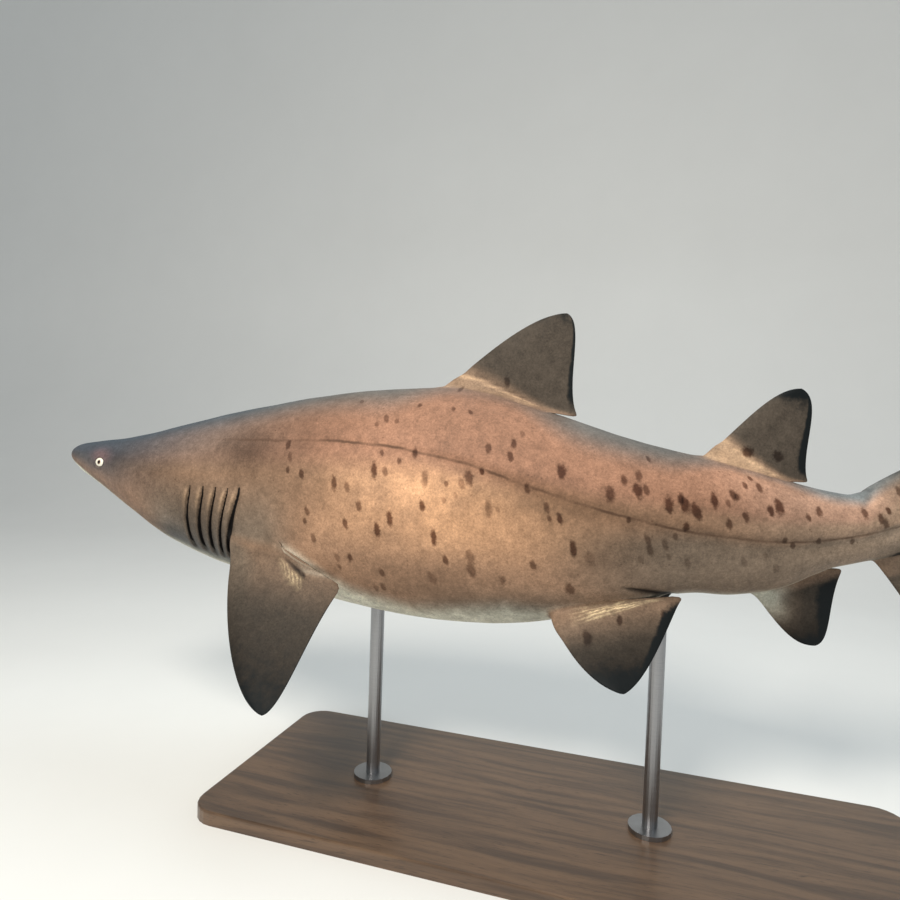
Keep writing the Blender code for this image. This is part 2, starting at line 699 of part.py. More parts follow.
# ---------------------------------------------------------------- stand
def add_base():
    """Flat base with round corners, its underside on the floor."""
    builder = bmesh.new()
    bmesh.ops.create_cube(builder, size=1.0)
    bmesh.ops.scale(builder, verts=builder.verts, vec=(BASE_LENGTH, BASE_WIDTH, BASE_THICKNESS))
    bmesh.ops.translate(builder, verts=builder.verts, vec=(0.0, 0.0, BASE_THICKNESS / 2))
    upright = [e for e in builder.edges if abs(e.verts[0].co.z - e.verts[1].co.z) > 1e-6]
    bmesh.ops.bevel(builder, geom=upright, offset=BASE_CORNER, segments=6, profile=0.5,
                    affect="EDGES")
    rim = [e for e in builder.edges if all(v.co.z > BASE_THICKNESS - 1e-6 for v in e.verts)]
    bmesh.ops.bevel(builder, geom=rim, offset=BASE_CHAMFER, segments=2, profile=0.5,
                    affect="EDGES")
    finish_object("stand_base", builder, BASE_WOOD, 0.6)


def add_rod(name, station, trunk):
    """Turned rod with a foot flange, its top cut to the belly that it carries."""
    foot = posed((station, 0.0, 0.0))[0] * UNIT + np.array(WORLD_SHIFT)
    top = foot[2]
    floor = BASE_THICKNESS + GAP
    profile = ((0.0, floor), (FLANGE_RADIUS, floor), (FLANGE_RADIUS, floor + FLANGE_THICKNESS),
               (ROD_RADIUS, floor + FLANGE_THICKNESS), (ROD_RADIUS, top), (0.0, top))
    builder = bmesh.new()
    verts = [builder.verts.new((foot[0] + radius, foot[1], z)) for radius, z in profile]
    edges = [builder.edges.new(pair) for pair in zip(verts[:-1], verts[1:])]
    bmesh.ops.spin(builder, geom=verts + edges, cent=(foot[0], foot[1], 0.0), axis=(0, 0, 1),
                   angle=2 * math.pi, steps=20)
    rod = finish_object(name, builder, ROD_STEEL, 0.3, 1.0)
    cutter = bpy.data.objects.new("belly_cutter", trunk.data.copy())
    bpy.context.scene.collection.objects.link(cutter)
    cutter.location.z = -GAP
    bpy.context.view_layer.update()
    apply_boolean(rod, cutter, "DIFFERENCE")


# ---------------------------------------------------------------- assembly
def posed_extent():
    """Lowest and highest corners of the posed body and fins, in percent."""
    points = []
    for rings in (HEAD_RINGS, SHOULDER_RINGS, CHEST_RINGS, BACK_RINGS, HIP_RINGS, STALK_RINGS,
                  TAIL_RINGS):
        points += [skin_point(ring, column_angle(c)) for ring in rings for c in ALL_COLUMNS]
    for fin in all_fins():
        points += [point for level in FIN_LEVELS for point in fin.loop(level)]
    points += [(0.0, 0.0, 0.0), (100.0, 0.0, float(smooth(100.0, TAIL_FLESH, 1)))]
    world = posed(points)
    return world.min(axis=0), world.max(axis=0)


LOW, HIGH = posed_extent()
WORLD_SHIFT = (-(LOW[0] + HIGH[0]) / 2 * UNIT, -(LOW[1] + HIGH[1]) / 2 * UNIT, SPINE_HEIGHT)


def build():
    for leftover in list(bpy.data.objects):
        bpy.data.objects.remove(leftover)
    head = head_piece()
    lower_jaw = lower_jaw_piece()
    add_teeth(head, lower_jaw)
    add_eyes(head)
    shoulders = body_piece("gills_and_shoulders", SHOULDER_RINGS)
    cut_gills(shoulders)
    chest = body_piece("trunk_front", CHEST_RINGS)
    body_piece("trunk_middle", BACK_RINGS)
    hips = body_piece("trunk_rear", HIP_RINGS)
    body_piece("tail_stalk", STALK_RINGS)
    tail_piece()
    for fin in all_fins():
        fin.build()
    add_base()
    for name, station, trunk in zip(("stand_rod_front", "stand_rod_rear"), ROD_STATIONS,
                                    (chest, hips)):
        add_rod(name, station, trunk)


build()
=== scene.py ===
import math

import bmesh
import bpy
import numpy as np
from mathutils import Matrix, Vector


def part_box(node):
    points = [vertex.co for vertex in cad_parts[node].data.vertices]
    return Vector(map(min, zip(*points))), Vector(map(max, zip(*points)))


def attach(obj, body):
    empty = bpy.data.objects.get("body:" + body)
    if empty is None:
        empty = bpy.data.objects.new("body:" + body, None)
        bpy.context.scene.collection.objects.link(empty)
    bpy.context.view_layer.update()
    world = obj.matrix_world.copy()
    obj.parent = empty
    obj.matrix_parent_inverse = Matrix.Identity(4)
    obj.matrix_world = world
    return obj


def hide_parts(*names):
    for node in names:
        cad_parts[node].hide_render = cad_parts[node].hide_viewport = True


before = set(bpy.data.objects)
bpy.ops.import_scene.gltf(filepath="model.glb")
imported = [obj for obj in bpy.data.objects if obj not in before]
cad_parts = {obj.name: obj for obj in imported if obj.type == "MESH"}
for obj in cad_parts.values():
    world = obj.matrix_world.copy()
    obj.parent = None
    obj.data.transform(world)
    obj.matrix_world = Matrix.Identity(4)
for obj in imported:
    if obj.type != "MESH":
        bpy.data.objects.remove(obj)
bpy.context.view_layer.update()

# Grey nurse shark (Carcharias taurus), the look of the still museum model.
#
# The skin starts as a cage of control points in a straight frame, in percent of the total
# length: x is the station behind the snout tip, y runs to the animal's right, z runs up.
# The cage is subdivided, the folds and slits are pressed into it, and its points are then
# carried onto the bent spine, as the CAD's are. The head points to -X. Angles around the body
# are in degrees, from the back down either side. Relief is a sum of depth * bell(offset, width),
# in percent of the length too.

# ---------------------------------------------------------------- shared with the CAD
TOTAL_LENGTH = 2.60            # metres
UNIT = TOTAL_LENGTH / 100.0    # metres in one percent of the length
SPINE_HEIGHT = 0.70            # metres, height of the spine above the floor at PIVOT
PIVOT = 35.0                   # station where the spine is level and unturned

# Body profile: station, back, belly, half width
BODY = (
    (0.0, 0.00, 0.00, 0.00),
    (1.0, 1.10, -0.95, 1.60),
    (3.0, 1.80, -1.80, 2.90),
    (6.0, 2.60, -2.90, 4.20),
    (10.0, 3.90, -4.55, 5.60),
    (14.0, 5.35, -6.35, 6.30),
    (18.0, 6.65, -7.50, 6.75),
    (22.0, 7.70, -8.20, 7.05),
    (28.0, 8.95, -9.25, 7.40),
    (35.0, 9.70, -10.10, 7.50),
    (41.0, 9.70, -10.25, 7.15),
    (48.0, 8.05, -9.40, 6.30),
    (54.0, 6.40, -7.45, 5.20),
    (60.0, 5.20, -5.50, 4.00),
    (63.0, 4.56, -5.35, 3.42),
    (66.0, 3.90, -4.70, 2.90),
    (70.0, 3.05, -2.75, 2.15),
    (71.6, 2.85, -2.35, 1.90),
)
ROUNDNESS = 2.15               # superellipse exponent of the body sections

# Tail fin, beyond TAIL_ROOT: station, upper edge, lower edge
TAIL_ROOT = 71.6
TAIL_EDGES = (
    (71.6, 2.85, -2.35),
    (73.0, 4.00, -2.05),
    (75.0, 5.15, -1.55),
    (80.0, 7.60, 0.10),
    (84.0, 9.35, 2.00),
    (88.0, 11.00, 4.30),
    (92.0, 12.50, 6.80),
    (96.0, 13.80, 8.90),
    (98.5, 14.50, 11.30),
    (100.0, 14.80, 14.20),
)
# Flesh that runs up the tail fin: station, height, half height, half width
TAIL_FLESH = (
    (71.6, 0.12, 2.70, 1.90),
    (75.0, 1.00, 2.30, 1.45),
    (80.0, 3.60, 1.90, 1.00),
    (88.0, 8.20, 1.25, 0.55),
    (95.0, 11.80, 0.70, 0.32),
    (100.0, 14.50, 0.30, 0.16),
)
TAIL_WEB = 0.13                # half width of the fin's edge
NOTCH_STATION = 95.3           # notch under the tip of the upper lobe
NOTCH_DEPTH = 2.2
NOTCH_WIDTH = 0.45

# Pose: station and angle in degrees; yaw swings to the right, pitch lifts the tail
YAW = ((0, 13.6), (8, 4.6), (18, 4.5), (35, 0.0), (52, 0.7), (72, 12.5), (86, 17.0), (100, 15.0))
PITCH = ((0, -9.1), (18, -3.8), (35, 0.0), (55, -1.9), (76, 1.1), (100, 1.1))
ROLL = ((0, -2.5), (35, -2.5), (76, 4.8), (100, 4.8))

MOUTH_RING = 12.5              # ring that carries the lips, counted on the back
MOUTH_FRONT = 5.0              # station of the lips on the mid line below
MOUTH_SPREAD = 45.0            # degrees from the mid line below to a corner
MOUTH_SWEEP = 5.5              # station length from the front of the U to its corners
GAPE = 0.50                    # rings between the lips on the mid line
WARP_END = 17.0                # ring behind which the rings are upright again

EYE_STATION = 5.85             # counted on the rings
EYE_ANGLE = 84.0
EYE_RADIUS = 0.60
EYE_BULGE = 0.20               # how far the ball stands out of the skin

GILL_TOPS = (17.5, 18.85, 20.15, 21.4, 22.5)     # stations
GILL_FEET = (17.3, 18.45, 19.4, 20.3, 21.0)
GILL_TOP_ANGLE = 89.0
GILL_FOOT_ANGLE = 138.0

ROD_FRONT_STATION = 33.0       # where the front rod of the stand meets the belly
FIN_CLEARANCE = 0.22           # clearance of a fin's rear edge from the body, less in front


# ---------------------------------------------------------------- curves
def smooth(x, table, column=1):
    """Value at x on a smooth curve through the rows of a table."""
    rows = np.asarray(table, dtype=float)
    xs, ys = rows[:, 0], rows[:, column]
    slopes = np.gradient(ys, xs)
    x = np.clip(np.asarray(x, dtype=float), xs[0], xs[-1])
    i = np.clip(np.searchsorted(xs, x) - 1, 0, len(xs) - 2)
    h = xs[i + 1] - xs[i]
    t = (x - xs[i]) / h
    a = (2 * t**3 - 3 * t**2 + 1) * ys[i] + (t**3 - 2 * t**2 + t) * h * slopes[i]
    return a + (3 * t**2 - 2 * t**3) * ys[i + 1] + (t**3 - t**2) * h * slopes[i + 1]


def ease(t):
    """Smooth step from 0 to 1 as t runs from 0 to 1."""
    t = np.clip(t, 0.0, 1.0)
    return t * t * (3 - 2 * t)


def rise(value, low, high):
    """Smooth step from 0 at low to 1 at high."""
    return ease((value - low) / (high - low))


def fall(value, low, high):
    """Smooth step from 1 at low to 0 at high."""
    return 1 - rise(value, low, high)


def bell(distance, width):
    """1 at no distance, falling off smoothly over width."""
    return np.exp(-((distance / width) ** 2))


def window(value, low, high, soft):
    """1 between low and high, 0 outside, with soft ends."""
    return ease((value - low) / soft + 0.5) * ease((high - value) / soft + 0.5)


def unit(vector):
    """The vector at length 1."""
    return vector / np.linalg.norm(vector)


def power(value, exponent):
    """Signed power, for superellipses."""
    return np.sign(value) * np.abs(value) ** exponent


def bezier(points, t):
    """Point at t on a Bezier curve with the given control points."""
    rows = [np.asarray(p, dtype=float) for p in points]
    while len(rows) > 1:
        rows = [a + (b - a) * t for a, b in zip(rows[:-1], rows[1:])]
    return rows[0]


# ---------------------------------------------------------------- straight body
BODY_BY_ROOT = [(math.sqrt(row[0]),) + row[1:] for row in BODY]


def body_profile(x):
    """Back, belly and half width at station x, rounded off at the snout tip."""
    root = np.sqrt(np.maximum(x, 0.0))
    return tuple(smooth(root, BODY_BY_ROOT, k) for k in (1, 2, 3))


def tail_profile(x):
    """Upper and lower edge of the tail fin at station x, with its notch."""
    notch = NOTCH_DEPTH * bell(x - NOTCH_STATION, NOTCH_WIDTH)
    return smooth(x, TAIL_EDGES, 1), smooth(x, TAIL_EDGES, 2) + notch


def section(x, angle):
    """Skin points at station x, angle degrees from the back down the left side."""
    x, angle = np.broadcast_arrays(np.asarray(x, dtype=float), np.asarray(angle, dtype=float))
    turn = np.radians(angle)
    across, along = -np.sin(turn), np.cos(turn)
    rounding = 2.0 / ROUNDNESS
    top, bottom, width = body_profile(np.minimum(x, TAIL_ROOT))
    z = (top + bottom) / 2 + (top - bottom) / 2 * power(along, rounding)
    body = np.stack((x, width * power(across, rounding), z), -1)
    top, bottom = tail_profile(np.maximum(x, TAIL_ROOT))
    z = (top + bottom) / 2 + (top - bottom) / 2 * power(along, rounding)
    height, flesh, width = (smooth(x, TAIL_FLESH, k) for k in (1, 2, 3))
    edge = np.minimum(1.0, 2.5 * np.abs(across)) ** 0.5
    thin = TAIL_WEB + (width - TAIL_WEB) * np.exp(-1.6 * ((z - height) / flesh) ** 2)
    blend = rise(x, TAIL_ROOT, TAIL_ROOT + 5.0)
    y = (1 - blend) * width * np.abs(across) ** rounding + blend * thin * edge
    tail = np.stack((x, np.sign(across) * y, z), -1)
    return np.where((x <= TAIL_ROOT)[..., None], body, tail)


def ring_station(ring, angle):
    """Station of a ring's point: the head's rings lean forward below, so that one is the lips."""
    from_belly = abs(180.0 - angle) / MOUTH_SPREAD
    reach = MOUTH_RING - MOUTH_FRONT
    corner = 1 - MOUTH_SWEEP / reach
    if from_belly <= 1:
        lean = 1 - (1 - corner) * from_belly**2
    else:
        lean = corner * math.exp(-2 * (1 - corner) / corner * (from_belly - 1))
    if ring <= MOUTH_RING:
        amount = ring * reach / MOUTH_RING
    else:
        amount = reach * float(fall(ring, MOUTH_RING, WARP_END))
    return ring - amount * lean


def skin_point(ring, angle):
    """Point of the skin on a ring."""
    return section(ring_station(ring, angle), angle)


def skin_normal(ring, angle):
    """Outward normal of the skin, straight frame."""
    step_ring, step_angle = 0.02, 0.5
    along = skin_point(ring + step_ring, angle) - skin_point(ring - step_ring, angle)
    around = skin_point(ring, angle + step_angle) - skin_point(ring, angle - step_angle)
    return unit(np.cross(around, along))


def depth_in_body(point, clearance):
    """Above 0 where a straight point is inside the body or closer to it than the clearance."""
    x = point[0]
    if x > TAIL_ROOT:
        top, bottom = tail_profile(x)
        width = float(smooth(x, TAIL_FLESH, 3))
    else:
        top, bottom, width = body_profile(x)
    half = (top - bottom) / 2 + clearance
    across = abs(point[1]) / (width + clearance)
    along = abs(point[2] - (top + bottom) / 2) / half
    return 1.0 - across**ROUNDNESS - along**ROUNDNESS


# ---------------------------------------------------------------- pose
def spine_frames():
    """Spine points and frames at close stations, as arrays."""
    s = np.linspace(-2.0, 102.0, 1041)
    yaw, pitch, roll = (np.radians(smooth(s, table)) for table in (YAW, PITCH, ROLL))
    tangent = np.stack((np.cos(yaw) * np.cos(pitch), np.sin(yaw) * np.cos(pitch), np.sin(pitch)), 1)
    steps = (tangent[1:] + tangent[:-1]) / 2 * (s[1] - s[0])
    centre = np.vstack((np.zeros(3), np.cumsum(steps, axis=0)))
    pivot = np.array([np.interp(PIVOT, s, centre[:, k]) for k in range(3)])
    centre += np.array((PIVOT, 0.0, 0.0)) - pivot
    level = np.cross((0.0, 0.0, 1.0), tangent)
    level /= np.linalg.norm(level, axis=1)[:, None]
    upright = np.cross(tangent, level)
    cos, sin = np.cos(roll)[:, None], np.sin(roll)[:, None]
    return s, centre, level * cos + upright * sin, upright * cos - level * sin


SPINE = spine_frames()


def posed(points):
    """Carry straight points onto the bent spine; the result is still in percent."""
    points = np.atleast_2d(np.asarray(points, dtype=float))
    s, centre, side, up = SPINE
    at = [np.stack([np.interp(points[:, 0], s, table[:, k]) for k in range(3)], 1)
          for table in (centre, side, up)]
    return at[0] + points[:, 1:2] * at[1] + points[:, 2:3] * at[2]


def spine_shift():
    """Metres from posed percent to the row frame, read off the front rod that holds the spine."""
    low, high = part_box("stand_rod_front")
    foot = posed((ROD_FRONT_STATION, 0.0, 0.0))[0] * UNIT
    return np.array(((low.x + high.x) / 2 - foot[0], (low.y + high.y) / 2 - foot[1], SPINE_HEIGHT))


SHIFT = spine_shift()


def in_metres(points):
    """Straight points, in percent, to the row frame in metres."""
    return posed(points) * UNIT + SHIFT


# ---------------------------------------------------------------- cage
# Angles of the cage's columns, down one side
HALF_COLUMNS = (0, 9, 20, 31, 41, 50, 58, 66, 73, 80, 87, 94, 101, 109, 117, 126, 135, 144, 153, 162,
                171, 180)
HALF = len(HALF_COLUMNS) - 1
COLUMNS = 2 * HALF
DORSAL, PECTORAL, MOUTH_CORNER = (HALF_COLUMNS.index(angle) for angle in (0, 126, 135))
PELVIC, VENTRAL = (HALF_COLUMNS.index(angle) for angle in (153, 180))

# Rings of the cage; each has the number of the station where it meets the back
RINGS = (
    (0.12, 0.45, 1.0, 1.7, 2.4, 3.1, 3.8, 4.4, 4.9, 5.3, 5.7, 6.1, 6.6, 7.2, 8.0, 8.9, 9.8, 10.7, 11.6)
    + (12.5, 12.9, 13.35, 13.9, 14.5, 15.1, 15.8, 16.4)
    + tuple(round(17.0 + 0.3 * k, 2) for k in range(15))
    + (21.5, 21.8, 22.2, 22.75, 23.4, 24.0, 24.6, 25.25, 25.9, 26.5, 27.4, 28.6, 30.0, 31.6, 33.2)
    + (34.8, 36.3, 37.5, 38.5, 39.4, 40.4, 41.4, 42.6, 43.8, 45.0, 46.2, 47.4, 48.4, 49.4, 50.4)
    + (51.4, 52.4, 53.4, 54.4, 55.4, 56.5, 57.7, 58.9, 60.1, 61.1, 62.1, 63.1, 64.2, 65.2, 66.2)
    + (67.2, 68.2, 69.3, 70.4, 71.6, 73.0, 74.4, 75.8, 77.2, 78.6, 80.0, 81.5, 83.2, 85.2, 87.4)
    + (89.8, 92.2, 93.9, 94.9, 95.4, 95.9, 96.9, 98.2, 99.2, 99.85)
)


def column_angle(column):
    """Angle of a column; columns past the belly run up the right side."""
    column %= COLUMNS
    return HALF_COLUMNS[column] if column <= HALF else 360 - HALF_COLUMNS[COLUMNS - column]


def island(left, low, width, height):
    """A part of the texture map, addressed by two shares from 0 to 1."""
    return lambda s, t: (left + s * width, low + t * height)


def read(data, field, width):
    """A field of mesh data as an array, width numbers to a row."""
    values = np.empty(len(data) * width, dtype=np.float32)
    data.foreach_get(field, values)
    return values.reshape(-1, width).astype(float)


def store(mesh, name, values, domain="POINT"):
    """Keep numbers or vectors on a mesh as an attribute."""
    values = np.asarray(values, dtype=np.float32)
    kind, field = ("FLOAT_VECTOR", "vector") if values.ndim == 2 else ("FLOAT", "value")
    mesh.attributes.new(name, kind, domain).data.foreach_set(field, values.ravel())


class Cage:
    """Control points in the straight frame, their marks, and faces with a texture map.

    The marks are: on a fin or not, level from the fin's root to its tip, chord from its front
    to its rear, and inner, above 0 on the lips and 1 inside the mouth.
    """

    def __init__(self):
        self.points = []
        self.marks = []
        self.inner = []
        self.faces = []
        self.corners = []

    def add(self, point, fin=0.0, level=0.0, chord=0.0, inner=0.0):
        self.points.append(np.asarray(point, dtype=float))
        self.marks.append((fin, level, chord))
        self.inner.append(inner)
        return len(self.points) - 1

    def face(self, indices, corners):
        """A face; corners that share a point count once."""
        kept = [k for k, index in enumerate(indices) if index not in indices[:k]]
        if len(kept) > 2:
            self.faces.append([indices[k] for k in kept])
            self.corners.append([corners[k] for k in kept])

    def strip(self, first, second, area, low, high, closed=False):
        """Faces between two rows of points; low and high are the rows' places on the map."""
        count = len(first)
        steps = count if closed else count - 1
        for k in range(steps):
            after = (k + 1) % count
            s, e = k / steps, (k + 1) / steps
            self.face((first[k], first[after], second[after], second[k]),
                      (area(s, low), area(e, low), area(e, high), area(s, high)))

    def mesh(self, name):
        """The cage as a mesh, its normals outward, its marks and map stored on it."""
        builder = bmesh.new()
        layer = builder.loops.layers.uv.new("OFBake")
        verts = [builder.verts.new(point) for point in self.points]
        for indices, corners in zip(self.faces, self.corners):
            face = builder.faces.new([verts[k] for k in indices])
            for loop, corner in zip(face.loops, corners):
                loop[layer].uv = corner
        bmesh.ops.recalc_face_normals(builder, faces=builder.faces)
        mesh = bpy.data.meshes.new(name)
        builder.to_mesh(mesh)
        builder.free()
        store(mesh, "marks", self.marks)
        store(mesh, "inner", self.inner)
        return mesh



# ---------------------------------------------------------------- fins
# Levels of a fin's loops of points, from 0 at the root to 1 at the tip
FIN_LEVELS = (0.035, 0.13, 0.25, 0.38, 0.51, 0.64, 0.76, 0.86, 0.94, 0.985)


def foil(chord):
    """Half thickness of a fin section along its chord, 1 at the thickest."""
    full = 2.969 * math.sqrt(chord) - 1.26 * chord - 3.516 * chord**2
    return full + 2.843 * chord**3 - 1.036 * chord**4


# Chord, height of the fin's inner margin above its plane
FLAT = ((0.0, 0.0), (1.0, 0.0))
PELVIC_LIFT = ((0.0, 0.0), (0.40, 0.20), (0.70, 0.50), (1.0, 0.90))


class Fin:
    """A fin that grows from a patch of the skin, two columns wide, over some rings.

    The outline lies in a plane through anchor with the axes (1, 0, 0) and span; lead and
    trail are Bezier control points in that plane, from the body out to the tip. The inner
    rear margin is raised out of the plane by lift.
    """

    def __init__(self, name, column, first, last, anchor, span, lead, trail, thickness, lift=FLAT):
        self.name = name
        self.column = column
        self.start, self.end = RINGS.index(first), RINGS.index(last)
        self.rings = RINGS[self.start:self.end + 1]
        self.anchor = np.asarray(anchor, dtype=float)
        self.span = np.asarray(span, dtype=float)
        self.lead = lead
        self.trail = trail
        self.thickness = thickness
        self.lift = lift

    def side(self):
        """Unit direction from the fin's plane to the side of the next column."""
        middle = self.rings[len(self.rings) // 2]
        after = skin_point(middle, column_angle(self.column + 1))
        before = skin_point(middle, column_angle(self.column - 1))
        normal = np.cross((1.0, 0.0, 0.0), self.span)
        return normal if np.dot(normal, after - before) > 0 else -normal

    def place(self, level, chord, offset):
        """Point of the fin at a level and chord, offset to one side of its plane."""
        front, rear = bezier(self.lead, level), bezier(self.trail, level)
        s, t = front + (rear - front) * chord
        raised = smooth(chord, self.lift) * (1 - level) ** 4
        point = self.anchor + np.array((s, 0.0, raised)) + self.span * t + self.side() * offset
        while depth_in_body(point, FIN_CLEARANCE * (0.2 + 0.8 * chord)) > 0:
            point = point + 0.05 * self.span
        return point

    def loop(self, cage, level):
        """Closed loop of fin points at a level: front edge, one side, rear edge, other side."""
        count = len(self.rings) - 1
        thick = self.thickness * (1 - 0.80 * level ** 0.85)
        least = 0.075 * (1 - 0.45 * level)
        shares = [0.035 + 0.93 * (k / count) ** 1.15 for k in range(count + 1)]
        halves = [max(least, thick * foil(share)) for share in shares]

        def put(chord, offset):
            return cage.add(self.place(level, chord, offset), 1.0, level, chord)

        near = [put(c, h) for c, h in zip(shares, halves)]
        far = [put(c, -h) for c, h in zip(shares, halves)]
        return [put(-0.012, 0.0)] + near + [put(1.008, 0.0)] + far[::-1]

    def grow(self, cage, outline, area):
        """Rows of points from the skin's outline to the tip, and the strip that closes the tip."""
        rows = [outline] + [self.loop(cage, level) for level in FIN_LEVELS]
        heights = (0.0,) + tuple(0.05 + 0.88 * level for level in FIN_LEVELS)
        for k in range(len(rows) - 1):
            cage.strip(rows[k], rows[k + 1], area, heights[k], heights[k + 1], closed=True)
        tip, count = rows[-1], len(self.rings)
        near = [tip[0]] + tip[1:count + 1] + [tip[count + 1]]
        far = [tip[0]] + tip[count + 2:][::-1] + [tip[count + 1]]
        cage.strip(near, far, area, 0.95, 1.0)


def slanted(degrees, left):
    """Span direction of a paired fin, degrees below the horizontal."""
    turn = math.radians(degrees)
    return (0.0, -math.cos(turn) if left else math.cos(turn), -math.sin(turn))


def all_fins():
    """Every fin but the upper lobe of the tail."""
    origin, up, down = (0.0, 0.0, 0.0), (0.0, 0.0, 1.0), (0.0, 0.0, -1.0)
    fins = [
        Fin("first_dorsal_fin", DORSAL, 38.5, 47.4, origin, up,
            lead=((38.2, 9.50), (41.8, 12.5), (45.6, 16.2), (48.5, 16.30)),
            trail=((50.6, 7.1), (48.4, 9.3), (50.7, 15.9), (48.6, 16.35)), thickness=0.62),
        Fin("second_dorsal_fin", DORSAL, 60.1, 66.2, origin, up,
            lead=((60.0, 5.10), (62.6, 7.7), (64.6, 10.8), (66.7, 10.90)),
            trail=((68.3, 3.0), (66.6, 5.3), (69.2, 10.3), (66.8, 10.95)), thickness=0.50),
        Fin("anal_fin", VENTRAL, 64.2, 69.3, origin, down,
            lead=((64.1, 4.55), (66.1, 7.0), (67.6, 9.3), (69.2, 9.10)),
            trail=((71.3, 2.3), (69.8, 4.9), (71.0, 9.1), (69.3, 9.15)), thickness=0.45),
        Fin("tail_fin_lower_lobe", VENTRAL, 73.0, 81.5, origin, down,
            lead=((73.0, 1.9), (75.9, 5.2), (77.9, 8.6), (79.6, 10.3)),
            trail=((82.6, -1.1), (80.2, 2.2), (80.9, 8.0), (79.7, 10.35)), thickness=0.50),
    ]
    for side, left in (("left", True), ("right", False)):
        mirror = -1.0 if left else 1.0
        turn = 1 if left else -1
        fins.append(
            Fin("pectoral_fin_" + side, turn * PECTORAL, 21.5, 26.5,
                (21.5, mirror * 5.72, -5.96), slanted(53.0 if left else 38.0, left),
                lead=((0.2, 0.0), (1.2, 4.6), (5.1, 11.7), (8.2, 12.35)),
                trail=((11.7, 0.5), (9.5, 4.9), (10.1, 12.3), (8.3, 12.40)), thickness=0.72))
        fins.append(
            Fin("pelvic_fin_" + side, turn * PELVIC, 49.4, 54.4,
                (49.38, mirror * 3.53, -7.88), slanted(40.0, left),
                lead=((0.0, 0.0), (1.6, 2.9), (3.7, 5.5), (5.9, 5.70)),
                trail=((10.3, -3.7), (8.7, -0.3), (7.5, 4.8), (6.0, 5.75)), thickness=0.45,
                lift=PELVIC_LIFT))
    return fins


# ---------------------------------------------------------------- skin cage
def opened(ring, angle):
    """Ring of a point of the lower jaw, moved back to leave the mouth open."""
    share = min(1.0, abs(180.0 - angle) / MOUTH_SPREAD)
    return ring + GAPE * math.sqrt(1 - share**2) * float(fall(ring, MOUTH_RING, MOUTH_RING + 3.0))


